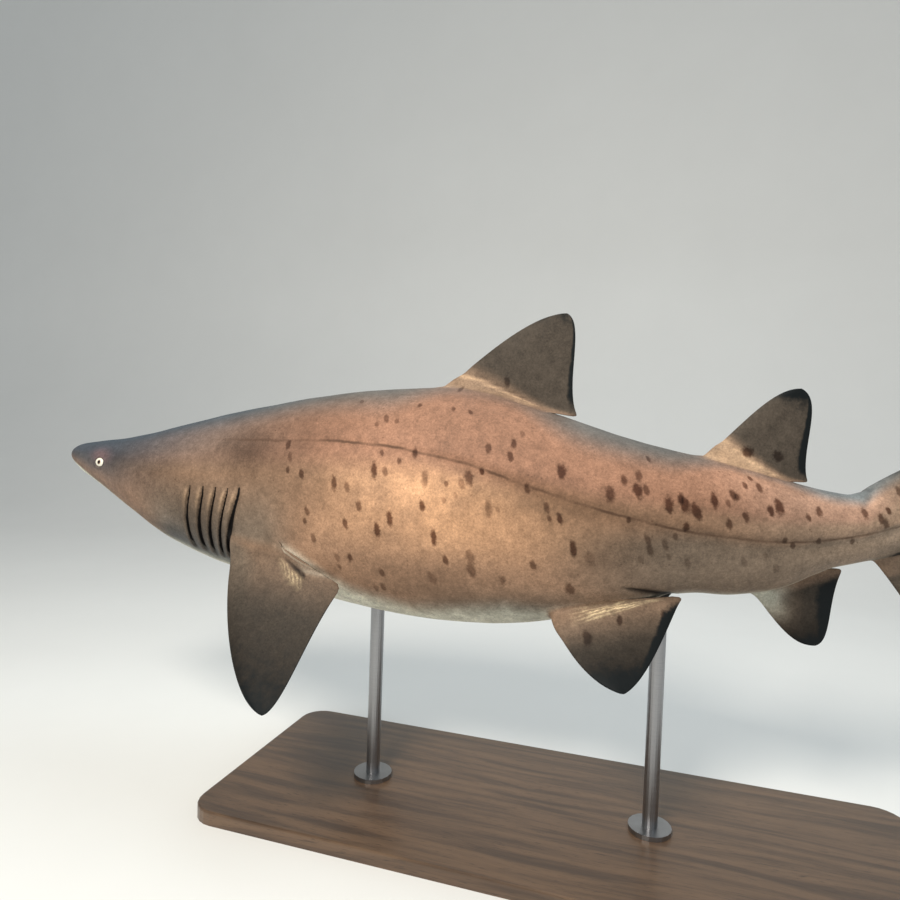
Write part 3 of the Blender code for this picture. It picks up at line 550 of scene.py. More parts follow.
def skin_cage():
    """The cage of the whole skin: body, fins and the inside of the mouth."""
    cage = Cage()
    fins = all_fins()
    mouth = RINGS.index(MOUTH_RING)
    mouth_columns = range(MOUTH_CORNER, COLUMNS - MOUTH_CORNER + 1)
    dropped_points, dropped_faces, rims = set(), set(), {}
    for fin in fins:
        for i in range(fin.start, fin.end + 1):
            for step in (-1, 0, 1):
                key = (i, (fin.column + step) % COLUMNS)
                inside = step == 0 and fin.start < i < fin.end
                if inside:
                    dropped_points.add(key)
                else:
                    rims[key] = (i - fin.start) / (fin.end - fin.start)
                if i < fin.end and step < 1:
                    dropped_faces.add(key)
    at = {}
    for i, ring in enumerate(RINGS):
        for j in range(COLUMNS):
            if (i, j) in dropped_points:
                continue
            angle = column_angle(j)
            behind_mouth = i > mouth and j in mouth_columns
            station = opened(ring, angle) if behind_mouth else ring
            lip = 0.5 if i == mouth and j in mouth_columns else 0.0
            rim = 0.5 if (i, j) in rims else 0.0
            at[i, j] = cage.add(skin_point(station, angle), rim, 0.0, rims.get((i, j), 0.0), lip)
    lower = {j: cage.add(skin_point(opened(MOUTH_RING, column_angle(j)), column_angle(j)), inner=0.5)
             for j in mouth_columns[1:-1]}

    area = island(0.005, 0.005, 0.99, 0.60)
    shares = [0.0] + [ring / 100.0 for ring in RINGS] + [1.0]
    for i in range(len(RINGS) - 1):
        for j in range(COLUMNS):
            if (i, j) in dropped_faces:
                continue
            after = (j + 1) % COLUMNS
            front = [lower.get(k, at[i, k]) if i == mouth else at[i, k] for k in (j, after)]
            s, e, t, u = shares[i + 1], shares[i + 2], j / COLUMNS, (j + 1) / COLUMNS
            cage.face((front[0], front[1], at[i + 1, after], at[i + 1, j]),
                      (area(s, t), area(s, u), area(e, u), area(e, t)))
    for i, station, height in ((0, 0.0, 0.0), (len(RINGS) - 1, 100.0, 14.5)):
        tip = cage.add((station, 0.0, height))
        s, e = (shares[1], shares[0]) if i == 0 else (shares[-2], shares[-1])
        for j in range(COLUMNS):
            t, u = j / COLUMNS, (j + 1) / COLUMNS
            cage.face((at[i, j], at[i, (j + 1) % COLUMNS], tip),
                      (area(s, t), area(s, u), area(e, (t + u) / 2)))

    def inward(ring, j, depth, back):
        """Point inside the mouth, under a point of the lips and moved back."""
        angle = column_angle(j)
        lift = -depth * skin_normal(ring, angle)
        return skin_point(ring, angle) + lift + np.array((back, 0.0, 0.0))

    first, last = mouth_columns[0], mouth_columns[-1]
    ends = [[cage.add(inward(MOUTH_RING, j, depth, back), inner=1.0)
             for depth, back in ((0.22, 0.05), (0.6, 0.2))] for j in (first, last)]

    middle = mouth_columns[1:-1]

    def row(step, depth, back, is_lower):
        """A row of points inside the mouth, between two of the shared end points."""
        rings = [opened(MOUTH_RING, column_angle(j)) if is_lower else MOUTH_RING for j in middle]
        inside = [cage.add(inward(ring, j, depth, back), inner=1.0) for ring, j in zip(rings, middle)]
        return [ends[0][step]] + inside + [ends[1][step]]

    upper_lip = [at[mouth, j] for j in mouth_columns]
    lower_lip = [at[mouth, first]] + [lower[j] for j in middle] + [at[mouth, last]]
    rows = [upper_lip, row(0, 0.28, 0.06, False), row(1, 0.95, 0.30, False),
            row(1, 0.95, 0.25, True), row(0, 0.28, 0.04, True), lower_lip]
    area = island(0.90, 0.62, 0.095, 0.10)
    for k in range(len(rows) - 1):
        cage.strip(rows[k], rows[k + 1], area, k / 5, (k + 1) / 5)

    for k, fin in enumerate(fins):
        columns = [(fin.column + step) % COLUMNS for step in (-1, 0, 1)]
        span = range(fin.start, fin.end + 1)
        near = [at[i, columns[2]] for i in span]
        far = [at[i, columns[0]] for i in span]
        outline = [at[fin.start, columns[1]]] + near + [at[fin.end, columns[1]]] + far[::-1]
        fin.grow(cage, outline, island(0.005 + 0.222 * (k % 4), 0.62 + 0.19 * (k // 4), 0.212, 0.18))
    return cage


SUBDIVISIONS = 2


def subdivided(mesh, levels):
    """The mesh after Catmull-Clark subdivision."""
    holder = bpy.data.objects.new("cage", mesh)
    bpy.context.scene.collection.objects.link(holder)
    modifier = holder.modifiers.new("round", "SUBSURF")
    modifier.levels = levels
    modifier.render_levels = levels
    evaluated = holder.evaluated_get(bpy.context.evaluated_depsgraph_get())
    result = bpy.data.meshes.new_from_object(evaluated)
    bpy.data.objects.remove(holder)
    return result


def write_points(mesh, points):
    mesh.vertices.foreach_set("co", np.asarray(points, dtype=np.float32).ravel())
    mesh.update()


# ---------------------------------------------------------------- skin relief
# Zones of the fins: first and last station, below the mid height or not
ZONES = {"pectoral": (18.0, 38.0, True), "pelvic": (46.0, 61.8, True), "anal": (61.8, 71.6, True),
         "lower_lobe": (71.6, 86.0, True), "first_dorsal": (34.0, 54.0, False),
         "second_dorsal": (56.0, 71.4, False)}


class Skin:
    """The subdivided skin in the straight frame, and what is pressed into it or painted on it."""

    def __init__(self, mesh):
        self.mesh = mesh
        self.fin, self.level, self.chord = read(mesh.attributes["marks"].data, "vector", 3).T
        self.inner = read(mesh.attributes["inner"].data, "value", 1)[:, 0]
        self.snap()
        self.locate()
        self.push = np.zeros(len(self.x))
        self.slide = np.zeros((len(self.x), 3))
        self.paint = {}
        self.corner_paint = {}
        self.loops = np.empty(len(mesh.loops), dtype=np.int32)
        mesh.loops.foreach_get("vertex_index", self.loops)

    def snap(self):
        """Put the points of the body, away from fins and lips, exactly on its sections."""
        points = read(self.mesh.vertices, "co", 3)
        x, y, z = points.T
        top, bottom, width = body_profile(np.clip(x, 0.05, TAIL_ROOT))
        middle, half = (top + bottom) / 2, (top - bottom) / 2
        reach = np.abs(y / width) ** ROUNDNESS + np.abs((z - middle) / half) ** ROUNDNESS
        reach = np.maximum(reach, 0.05) ** (1 / ROUNDNESS)
        weight = fall(self.fin, 0.0, 0.45) * fall(self.inner, 0.0, 0.45)
        weight *= rise(x, 0.4, 1.2) * fall(x, TAIL_ROOT - 1.5, TAIL_ROOT)
        scale = 1 + weight * (1 / reach - 1)
        points[:, 1] *= scale
        points[:, 2] = middle + (z - middle) * scale
        write_points(self.mesh, points)
        self.points = points
        self.normals = read(self.mesh.vertex_normals, "vector", 3)

    def locate(self):
        """Where every point lies: height share, angle, zone, and the top of the dorsal fins' bases."""
        self.x, self.y, self.z = self.points.T
        top, bottom, width = body_profile(np.clip(self.x, 0.05, TAIL_ROOT))
        tail_top, tail_bottom = tail_profile(np.maximum(self.x, TAIL_ROOT))
        on_tail = self.x > TAIL_ROOT
        self.top = np.where(on_tail, tail_top, top)
        bottom = np.where(on_tail, tail_bottom, bottom)
        self.height = (self.z - bottom) / (self.top - bottom)
        along = np.clip(2 * self.height - 1, -1.0, 1.0)
        across = np.minimum(np.abs(self.y / width), 1.0)
        self.angle = np.degrees(np.arctan2(across ** (ROUNDNESS / 2), power(along, ROUNDNESS / 2)))
        self.body = fall(self.fin, 0.0, 0.5)
        below = self.z < (self.top + bottom) / 2
        self.zone = {name: (self.x > low) & (self.x < high) & (below == is_below)
                     for name, (low, high, is_below) in ZONES.items()}
        self.dorsal = self.zone["first_dorsal"] | self.zone["second_dorsal"]
        # level where the swollen base of a dorsal fin ends: its height in front, and its bow
        second = self.zone["second_dorsal"]
        high, bow = np.where(second, 0.20, 0.175), np.where(second, 1.2, 1.7)
        self.cushion = high * (1 - np.clip(self.chord / 0.80, 0.0, 1.0) ** bow)

    def tint(self, name, amount):
        """Raise a paint layer to an amount where it is less."""
        self.paint[name] = np.maximum(self.paint.get(name, 0.0), amount)

    def local(self, ring, angle):
        """Offsets from a skin point, along x and down the skin, and the normal there, both sides."""
        point, normal = skin_point(ring, angle), skin_normal(ring, angle)
        folded = np.column_stack((self.x, -np.abs(self.y), self.z)) - point
        down = unit(np.cross(normal, np.cross((0.0, 0.0, -1.0), normal)))
        along = np.cross(down, normal)
        along *= np.sign(along[0])
        return folded @ along, folded @ down, folded @ normal

    def finish(self, name, material):
        """Move the points, store the paint, pose the skin, and return its object."""
        moved = self.points + self.normals * self.push[:, None] + self.slide
        write_points(self.mesh, in_metres(moved))
        for attribute in ("marks", "inner"):
            self.mesh.attributes.remove(self.mesh.attributes[attribute])
        store(self.mesh, "rest", self.points * UNIT)
        for domain, paint in (("POINT", self.paint), ("CORNER", self.corner_paint)):
            for key, values in paint.items():
                store(self.mesh, key, values, domain)
        self.mesh.materials.clear()
        return add_object(name, self.mesh, material)


GILL_WIDTHS = (0.9, 1.25, 1.1, 1.0, 2.3)    # how wide each slit is, against the plain one


def press_gills(skin):
    """Five pleated flaps on each side, each with a slit behind its free edge, painted shade behind each
    slit and painted highlights on the flaps.

    Returns the offsets of every point to each slit, in the slit's half widths.
    """
    share = (skin.angle - GILL_TOP_ANGLE) / (GILL_FOOT_ANGLE - GILL_TOP_ANGLE)
    inside = np.clip(share, 0.0, 1.0)
    over = np.abs(share - inside) * 4.0
    fade = rise(share, -0.04, 0.10) * fall(share, 0.98, 1.12) * fall(skin.fin, 0.3, 0.6)
    slits = []
    for wide, top, foot in zip(GILL_WIDTHS, GILL_TOPS, GILL_FEET):
        line = top + (foot - top) * inside - 0.16 * np.sin(math.pi * inside)
        behind = skin.x - line
        ramp = rise(behind, -1.15, -0.10) * fall(behind, -0.06, 0.06)
        groove = bell(behind - 0.06 * wide, 0.09 * wide)
        hollow = bell(behind - 0.34, 0.24)
        skin.push += (0.15 * ramp - 0.36 * groove - 0.04 * hollow) * fade
        skin.slide[:, 0] -= 0.08 * groove * fade
        half = (0.045 + 0.050 * rise(inside, 0.15, 0.65)) * (1 - 0.6 * rise(inside, 0.85, 1.0)) * wide
        slits.append(np.column_stack((behind - 0.05 * wide, over, 0 * over)) / half[:, None])
        # Painted shade behind each slit, deepest low down between the flaps
        shade = bell(behind - 0.08 - 0.12 * wide, 0.16 * wide) * rise(inside, 0.20, 0.80)
        skin.tint("painted_shade", 0.62 * shade * fade)
        # Painted highlights along the tops of the flaps and along their free edges
        lit = 0.57 * bell(behind + 0.20, 0.20) * fall(share, 0.06, 0.36)
        skin.tint("pale", np.maximum(lit, 0.114 * bell(behind + 0.12, 0.09)) * fade)
    return slits


EYE_LONG = 1.22                # length of the eye's opening over its height
EYE_HIGH = 0.90                # height of the eyeball over its depth
EYE_TURN = 24.0                # degrees the gaze is turned back from the skin's normal


def press_eyes(skin):
    """A socket with a lid on each side, under a faint brow, turned slightly to the rear."""
    along, down, _ = skin.local(EYE_STATION, EYE_ANGLE)
    radius = np.hypot(along / EYE_LONG, down / EYE_HIGH)
    skin.push -= 0.22 * along * bell(radius, 1.2)
    skin.push -= 0.75 * fall(radius, 0.22, 0.34)
    skin.push += 0.06 * bell(radius - 0.63, 0.10) - 0.035 * bell(radius - 0.86, 0.12)
    skin.push += 0.08 * bell(down + 0.85, 0.40) * bell(along, 1.6) * bell(radius, 2.2)
    skin.push -= 0.06 * bell(down - 1.1, 0.5) * bell(along, 1.3)
    lid = 0.44 + 0.12 * np.clip(along / 0.6, -1.0, 1.0)
    # Painted shade inside the eye's opening, seen as a thin dark ring round the eyeball
    skin.tint("painted_shade", fall(radius - lid, 0.0, 0.07))
    skin.paint["mauve"] = bell(np.hypot(down + 0.95, 0.6 * radius), 0.75) * (skin.x < 9.0)


NOSTRIL_RING = 4.1
NOSTRIL_ANGLE = 147.0
NOSTRIL_TURN = 35.0            # degrees the slit leans from the body's length
NOSTRIL_HALF_LENGTH = 0.28


def press_nostrils(skin):
    """A slanting nostril with a flap on each side, ahead of the mouth."""
    along, down, out = skin.local(NOSTRIL_RING, NOSTRIL_ANGLE)
    near = rise(out, -1.1, -0.6)
    turn = math.radians(NOSTRIL_TURN)
    length = along * math.cos(turn) + down * math.sin(turn)
    wide = down * math.cos(turn) - along * math.sin(turn) + 0.35 * length**2
    distance = np.hypot(np.maximum(np.abs(length) - NOSTRIL_HALF_LENGTH, 0.0), wide)
    skin.push += near * (-0.34 * bell(distance, 0.13) + 0.06 * bell(distance - 0.27, 0.12))
    # Painted shade inside the nostril
    skin.tint("painted_shade", 0.95 * near * bell(distance, 0.12))


def press_mouth(skin):
    """Lips, the furrow at each corner, and the jaw muscles behind."""
    corner_angle = 180.0 - MOUTH_SPREAD
    corner = ring_station(MOUTH_RING, corner_angle)
    along, down, out = skin.local(MOUTH_RING, corner_angle)
    near = window(along, -0.4, 1.1, 0.5) * rise(out, -1.6, -1.0)
    furrow = bell(down - 0.35 * along, 0.14) * near * rise(along, -0.7, -0.2)
    skin.push -= 0.16 * furrow * skin.body
    skin.push += 0.06 * bell(down - 0.35 * along + 0.28, 0.2) * near
    skin.push += 0.12 * bell(skin.x - corner - 2.4, 2.6) * bell(skin.angle - 118.0, 24.0)
    skin.push -= 0.10 * bell(skin.x - 15.6, 1.1) * window(skin.angle, 95.0, 150.0, 30.0)
    # Painted shade in the furrow at each corner of the mouth
    skin.tint("painted_shade", 0.55 * furrow)
    lips = rise(skin.inner, 0.10, 0.40) * fall(skin.inner, 0.55, 0.75)
    skin.push += 0.05 * lips
    skin.paint["mouth"] = rise(skin.inner, 0.55, 0.85)
    skin.paint["lips"] = lips


# Lateral line: station, height
LATERAL_LINE = (
    (15.0, 3.7), (22.6, 4.25), (34.8, 4.6), (39.6, 4.1), (44.0, 3.25), (47.6, 2.25), (51.2, 1.35),
    (55.5, 0.5), (58.9, -0.05), (62.6, -0.37), (68.5, -0.3), (72.1, 0.35), (74.1, 0.85),
    (77.0, 1.9), (80.0, 3.6), (88.0, 8.1), (92.0, 10.2))


def press_lateral_line(skin):
    """A fine seam along the flank, with a shallow valley under it to the rear."""
    offset = skin.z - smooth(skin.x, LATERAL_LINE)
    ends = window(skin.x, 16.5, 90.0, 3.0) * skin.body
    skin.push -= 0.06 * bell(offset, 0.12) * ends
    front = window(skin.x, 27.0, 50.0, 10.0) * skin.body
    skin.push += (0.05 * bell(offset - 0.45, 0.35) - 0.06 * bell(offset + 0.35, 0.35)) * front
    rear = window(skin.x, 44.0, 78.0, 12.0) * skin.body
    skin.push -= 0.34 * bell(offset + 0.55, 0.75) * rear
    skin.push += 0.10 * bell(offset - 0.8, 0.7) * rear
    skin.paint["line"] = offset
    skin.paint["line_on"] = window(skin.x, 21.0, 88.0, 8.0) * skin.body


# Fold between the pectoral fin and the flank: station, height
AXIL = np.array(((26.2, -4.6), (28.0, -5.9), (29.5, -6.72), (32.3, -6.95)))
# Slit where the pelvic fin's inner margin parts from the body: station it starts at, height, slope
PELVIC_SLIT = (54.4, -4.85, -0.20)


def press_fins(skin):
    """Swollen fin bases and the folds behind each paired fin, with painted highlights on the folds and
    painted shade in the gaps beside the fins.

    Returns the pale inner side of the fold behind each pectoral fin.
    """
    on_fin = rise(skin.fin, 0.0, 0.5)
    cushion = skin.level / np.maximum(skin.cushion, 0.01)
    dorsal = skin.dorsal * on_fin * fall(skin.chord, 0.60, 0.80)
    skin.push += 0.14 * fall(cushion, 0.55, 1.0) * dorsal
    skin.push -= 0.05 * bell(cushion - 1.15, 0.14) * dorsal * skin.zone["first_dorsal"]

    pectoral = skin.zone["pectoral"] * on_fin * ease(skin.normals[:, 2] * 3)
    skin.push -= 0.22 * bell(skin.level - 0.012, 0.022) * pectoral * window(skin.chord, 0.42, 1.2, 0.25)
    under = np.interp(skin.x, AXIL[:, 0], AXIL[:, 1]) - skin.z
    crease = 19.0 * skin.x + 9.5 * skin.z
    creased = 0.55 * window(under, 0.25, 1.10, 0.25) * window(skin.x, 27.0, 29.3, 0.5) * pectoral
    gap = bell(under, 0.05 + 0.20 * rise(skin.x, 26.6, 28.8)) * window(skin.x, 26.7, 29.4, 0.4)
    gap *= pectoral
    # Painted shade in the gap between the pectoral fin's root and the flank
    skin.push -= 0.10 * gap
    skin.tint("painted_shade", gap)

    pelvic = skin.zone["pelvic"] * on_fin
    fan = skin.level / (0.05 + 0.15 * np.maximum(0.85 - skin.chord, 0.0))
    pleat = 24.0 * fan + 3.0 * skin.chord + 1.5 * np.sin(9.0 * skin.chord + 5.0 * fan)
    pleated = window(fan, 0.25, 1.15, 0.45) * window(skin.chord, 0.24, 0.84, 0.30) * pelvic
    skin.push += 0.05 * np.sin(crease) * creased + 0.035 * np.sin(pleat) * pleated
    skin.push += 0.12 * bell(fan - 0.8, 0.55) * pelvic
    # Phase and strength of the creases and pleats, for the painted highlights on their ridges
    skin.paint["fold"] = np.where(creased > pleated, crease, pleat)
    skin.paint["fold_highlight_on"] = np.maximum(creased, pleated)

    start, height, slope = PELVIC_SLIT
    above = skin.z - height - slope * (skin.x - start)
    slit = bell(above, 0.07 + 0.30 * rise(skin.x, start, start + 3.0)) * window(skin.x, 54.9, 58.6, 0.9)
    slit *= skin.body * rise(skin.angle, 105.0, 113.0)
    skin.push -= 0.15 * slit
    # Painted shade in the slit where the pelvic fin parts from the body
    skin.tint("painted_shade", slit)
    return ease(-under / 0.25) * pectoral * window(skin.x, 26.4, 32.5, 0.8)


def press_tail_pit(skin):
    """The crease across the back where the upper lobe of the tail starts."""
    across = skin.x - 72.2 + 0.9 * (skin.top - skin.z)
    crease = bell(across, 0.22) * rise(skin.height, 0.74, 0.94) * skin.body
    skin.push -= 0.20 * crease
    # Painted shade in the crease
    skin.tint("painted_shade", 0.35 * crease)



def press_unevenness(skin):
    """Slight, slow waves, so that no stretch of skin is perfectly even."""
    x, y, z = skin.x, skin.y, skin.z
    wave = (np.sin(0.9 * x + 1.3 * z) * np.sin(0.7 * z - 0.5 * y + 1.0)
            + 0.6 * np.sin(1.7 * x - 0.8 * z + 2.0) * np.sin(1.3 * y + 0.6 * x))
    skin.push += 0.014 * wave * skin.body * (1 - ease(skin.inner * 2))


# ---------------------------------------------------------------- skin paint
# Half sizes of the spots, along and up: small, medium, tall, large, round
SPOT_SIZES = {"s": (0.19, 0.28), "m": (0.24, 0.42), "t": (0.26, 0.66), "l": (0.35, 0.62), "r": (0.45, 0.42)}
# Spots of the left flank: station, height share, size, darkness
SPOTS = (
    (26.8, 0.74, "m", 0.8), (27.3, 0.68, "m", 0.6), (27.3, 0.62, "s", 0.8), (28.7, 0.605, "m", 0.9),
    (31.9, 0.575, "t", 0.9), (33.1, 0.565, "m", 0.7), (35.35, 0.64, "t", 1.0), (36.3, 0.635, "m", 0.7),
    (35.8, 0.71, "s", 0.8), (38.6, 0.715, "m", 0.9), (37.4, 0.68, "s", 0.8), (35.5, 0.85, "m", 0.7),
    (34.8, 0.825, "s", 0.6), (36.5, 0.84, "s", 0.6), (38.0, 0.91, "s", 0.8), (32.5, 0.93, "s", 0.6),
    (40.9, 0.905, "s", 0.7), (39.65, 0.62, "t", 0.6), (39.6, 0.515, "m", 1.0), (34.3, 0.49, "m", 0.8),
    (36.95, 0.455, "t", 1.0), (35.9, 0.40, "t", 1.0), (33.1, 0.41, "m", 0.9), (29.5, 0.445, "m", 0.8),
    (29.3, 0.40, "s", 0.8), (30.1, 0.33, "m", 0.7), (32.2, 0.26, "m", 0.6), (33.4, 0.27, "m", 0.9),
    (32.3, 0.22, "s", 0.6), (36.1, 0.225, "m", 0.8), (35.3, 0.15, "m", 0.5), (36.0, 0.16, "m", 0.7),
    (40.6, 0.395, "t", 1.0), (41.55, 0.31, "m", 0.9), (40.4, 0.23, "l", 0.5), (41.4, 0.61, "s", 0.8),
    (41.3, 0.545, "s", 0.5), (42.2, 0.57, "s", 0.4), (43.1, 0.65, "l", 0.9), (42.6, 0.62, "m", 0.6),
    (44.0, 0.685, "s", 1.0), (44.8, 0.54, "t", 0.6), (45.5, 0.545, "s", 0.4), (47.5, 0.655, "m", 0.8),
    (49.05, 0.587, "m", 0.8), (49.3, 0.54, "s", 0.8), (50.05, 0.545, "m", 1.0), (44.3, 0.78, "m", 0.8),
    (46.1, 0.825, "m", 0.9), (46.0, 0.77, "m", 0.9), (49.85, 0.757, "l", 1.0), (42.3, 0.905, "s", 0.8),
    (46.6, 0.875, "s", 0.5), (51.15, 0.407, "t", 1.0), (52.4, 0.35, "l", 0.4), (48.3, 0.325, "m", 0.8),
    (43.5, 0.335, "l", 0.6), (43.6, 0.28, "l", 0.7), (46.0, 0.25, "m", 0.6), (51.0, 0.195, "l", 0.8),
    (54.3, 0.78, "m", 0.9), (53.4, 0.695, "l", 0.9), (55.3, 0.815, "m", 0.8), (55.3, 0.735, "l", 1.0),
    (55.9, 0.745, "m", 0.8), (54.9, 0.57, "s", 0.8), (56.3, 0.45, "m", 0.7), (56.5, 0.39, "m", 0.7),
    (57.5, 0.675, "l", 1.0), (58.3, 0.72, "m", 1.0), (58.6, 0.68, "l", 1.0), (59.4, 0.65, "l", 1.0),
    (58.8, 0.54, "m", 1.0), (60.65, 0.745, "t", 1.0), (61.95, 0.81, "m", 0.9), (62.25, 0.8, "s", 0.9),
    (61.6, 0.74, "s", 0.7), (61.7, 0.60, "m", 0.9), (62.85, 0.67, "m", 0.9), (65.2, 0.785, "l", 1.0),
    (64.6, 0.745, "m", 1.0), (63.9, 0.90, "m", 0.9), (62.85, 0.89, "s", 0.9), (63.3, 0.95, "s", 0.9),
    (67.3, 0.72, "s", 0.9), (68.1, 0.78, "m", 0.9), (65.7, 0.515, "s", 0.8), (66.4, 0.46, "s", 0.8),
    (68.2, 0.47, "s", 0.8), (55.9, 0.92, "s", 0.8), (57.5, 0.42, "m", 0.6), (58.2, 0.47, "s", 0.6),
    (57.8, 0.34, "s", 0.4), (55.9, 0.335, "s", 0.4), (59.1, 0.29, "m", 0.4), (63.0, 0.33, "m", 0.4),
    (64.5, 0.38, "s", 0.4), (65.3, 0.27, "m", 0.4), (71.5, 0.80, "m", 0.9), (72.6, 0.62, "m", 0.9),
    (73.2, 0.66, "s", 1.0), (73.0, 0.52, "m", 0.8), (70.8, 0.40, "s", 0.8), (74.2, 0.80, "m", 0.8),
)
# Spots of the dorsal fins: station, height, size, darkness
FIN_SPOTS = ((44.2, 10.5, "m", 0.8), (40.5, 9.6, "s", 0.7), (63.3, 5.9, "r", 1.0), (65.5, 5.7, "r", 0.9))
# Spots of the pelvic fins: level, chord, size, darkness
PELVIC_SPOTS = ((0.20, 0.52, "m", 0.9), (0.30, 0.22, "l", 0.8), (0.22, 0.90, "m", 0.8))
# The right flank isn't seen in the photograph; about as many are strewn over it at random
RIGHT_SPOTS = 105
SPOT_SEED = 11
LEAN_SEED = 4                  # draws how far each spot leans to the rear
FAR = 40.0                     # offset of a face with no spot near it


def spot_list():
    """Spots of both sides as rows: point, downward direction, half sizes, darkness, side."""
    rng = np.random.default_rng(SPOT_SEED)
    rows = [(x, share, SPOT_SIZES[size], dark, -1) for x, share, size, dark in SPOTS]
    taken = []
    while len(taken) < RIGHT_SPOTS:
        x, share = rng.uniform(26.0, 74.0), rng.uniform(0.18, 0.93)
        if all(abs(x - a) > 0.8 or abs(share - b) > 0.07 for a, b in taken):
            taken.append((x, share))
            size = SPOT_SIZES[rng.choice(("s", "m", "m", "t", "l"))]
            rows.append((x, share, size, rng.uniform(0.5, 1.0), 1))
    result = []
    for x, share, size, dark, side in rows:
        level = 2 * share - 1
        angle = math.degrees(math.acos(math.copysign(abs(level) ** (ROUNDNESS / 2), level)))
        turn = angle if side < 0 else 360 - angle
        down = unit(section(x, turn - side) - section(x, turn + side))
        result.append((section(x, turn), down, size, dark, side))
    for x, z, size, dark in FIN_SPOTS:
        result += [(np.array((x, 0.1 * side, z)), np.array((0.0, 0.0, -1.0)), SPOT_SIZES[size], dark, side)
                   for side in (-1, 1)]
    for fin in all_fins():
        if fin.name.startswith("pelvic"):
            side = -1 if fin.name.endswith("left") else 1
            result += [(fin.place(level, chord, 0.0), fin.span, SPOT_SIZES[size], dark, side)
                       for level, chord, size, dark in PELVIC_SPOTS]
    return result


def paint_slits(skin, slits):
    """Offsets of every face corner to the gill slit nearest its face, in the slit's half widths."""
    corners = np.array(slits)[:, skin.loops].reshape(len(slits), -1, 4, 3)
    nearest = np.argmin(np.abs(corners[..., 0].mean(axis=2)), axis=0)
    chosen = corners[nearest, np.arange(len(nearest))]
    skin.corner_paint["slit"] = chosen.reshape(-1, 3)


def paint_spots(skin):
    """Offsets of every face corner to the two spots nearest its face, in the spots' half sizes."""
    corners = skin.points[skin.loops].reshape(-1, 4, 3)
    centres = corners.mean(axis=1)
    rng = np.random.default_rng(LEAN_SEED)
    best = np.full((2, len(centres)), FAR)
    chosen = [np.full((len(centres), 4, 3), (FAR, FAR, 0.0)) for _ in range(2)]
    for point, down, (half_x, half_z), dark, side in spot_list():
        lean = rng.uniform(-0.30, -0.08)
        same_side = centres[:, 1] * side > -0.15
        near = np.nonzero((np.abs(centres[:, 0] - point[0]) < 3.0) & same_side)[0]

        def offsets(points):
            drop = (points - point) @ down
            return (points[..., 0] - point[0] + lean * drop) / half_x, drop / half_z

        distance = np.hypot(*offsets(centres[near]))
        u, v = offsets(corners[near])
        entry = np.stack((u, v, np.full(u.shape, dark)), -1)
        first = distance < best[0][near]
        second = ~first & (distance < best[1][near])
        nearest = near[first]
        best[1][nearest], chosen[1][nearest] = best[0][nearest], chosen[0][nearest]
        best[0][nearest], chosen[0][nearest] = distance[first], entry[first]
        best[1][near[second]], chosen[1][near[second]] = distance[second], entry[second]
    skin.corner_paint["spot_near"] = chosen[0].reshape(-1, 3)
    skin.corner_paint["spot_next"] = chosen[1].reshape(-1, 3)


# Painted light and shade in darker and lighter stretches: station, height share, reach along and up, factor
# of brightness
LIGHT_AND_SHADE = ((22.5, 0.72, 3.8, 0.15, 0.42), (28.0, 0.80, 4.5, 0.12, 0.75), (57.0, 0.42, 6.5, 0.13, 0.58),
         (50.0, 0.60, 6.5, 0.09, 0.54), (62.8, 0.94, 2.4, 0.12, 1.40), (70.5, 0.92, 4.5, 0.18, 1.75),
         (37.0, 0.60, 3.5, 0.12, 1.15), (19.5, 0.62, 2.5, 0.08, 1.15), (28.5, 0.19, 3.4, 0.09, 1.60),
         (38.0, 0.20, 7.0, 0.10, 0.80), (10.0, 0.66, 4.5, 0.17, 0.66), (6.0, 0.32, 4.5, 0.15, 1.30),
         (18.5, 0.32, 4.2, 0.26, 0.52), (43.5, 0.45, 4.0, 0.08, 0.74), (47.0, 0.10, 6.0, 0.06, 0.62),
         (66.0, 0.42, 4.5, 0.10, 0.76), (74.5, 0.72, 3.5, 0.25, 1.45), (14.5, 0.55, 2.5, 0.12, 0.80),
         (50.0, 0.55, 4.5, 0.26, 0.84), (27.5, 0.58, 3.5, 0.14, 0.84), (14.5, 0.27, 2.2, 0.07, 1.25),
         (70.5, 0.50, 2.2, 0.12, 1.28), (74.5, 0.22, 2.5, 0.20, 1.45), (54.0, 0.38, 2.8, 0.14, 0.82),
         (53.0, 0.14, 2.2, 0.05, 1.25), (62.0, 0.67, 4.5, 0.07, 0.82),
         (70.0, 0.10, 3.5, 0.07, 1.40), (49.5, 0.05, 3.0, 0.06, 0.70))

# Upper edge of the pale belly: stations and height shares
BELLY_STATIONS = (0, 6, 14, 23, 25, 27, 29, 31, 33, 38, 46, 51, 60)
BELLY_EDGE = (0.26, 0.15, 0.07, 0.055, 0.16, 0.25, 0.21, 0.15, 0.11, 0.075, 0.12, 0.07, 0.02)
# Look of the fins: levels where the dark colour starts (None: above the swollen base) and over
# which it sets in, how much darker than that the base and the tip are (the fins' own colour and,
# on the fins that face down, painted shade), width of the dark rear edge, and level, reach and strength of
# the dark tip
FIN_LOOKS = {
    "pectoral": (-0.08, 0.40, 0.18, 0.50, 0.01, 0.20, 0.90, 0.85),
    "pelvic": (0.08, 0.36, 0.15, 0.48, 0.16, 0.36, 0.55, 1.0),
    "anal": (0.08, 0.09, 0.34, 0.40, 0.42, 0.48, 0.45, 1.0),
    "lower_lobe": (0.08, 0.09, 0.0, 0.0, 0.20, 0.45, 0.50, 0.9),
    "first_dorsal": (None, 0.12, 0.0, 0.0, 0.06, 0.45, 0.90, 0.9),
    "second_dorsal": (None, 0.09, 0.0, 0.0, 0.17, 0.50, 0.48, 1.0),
}


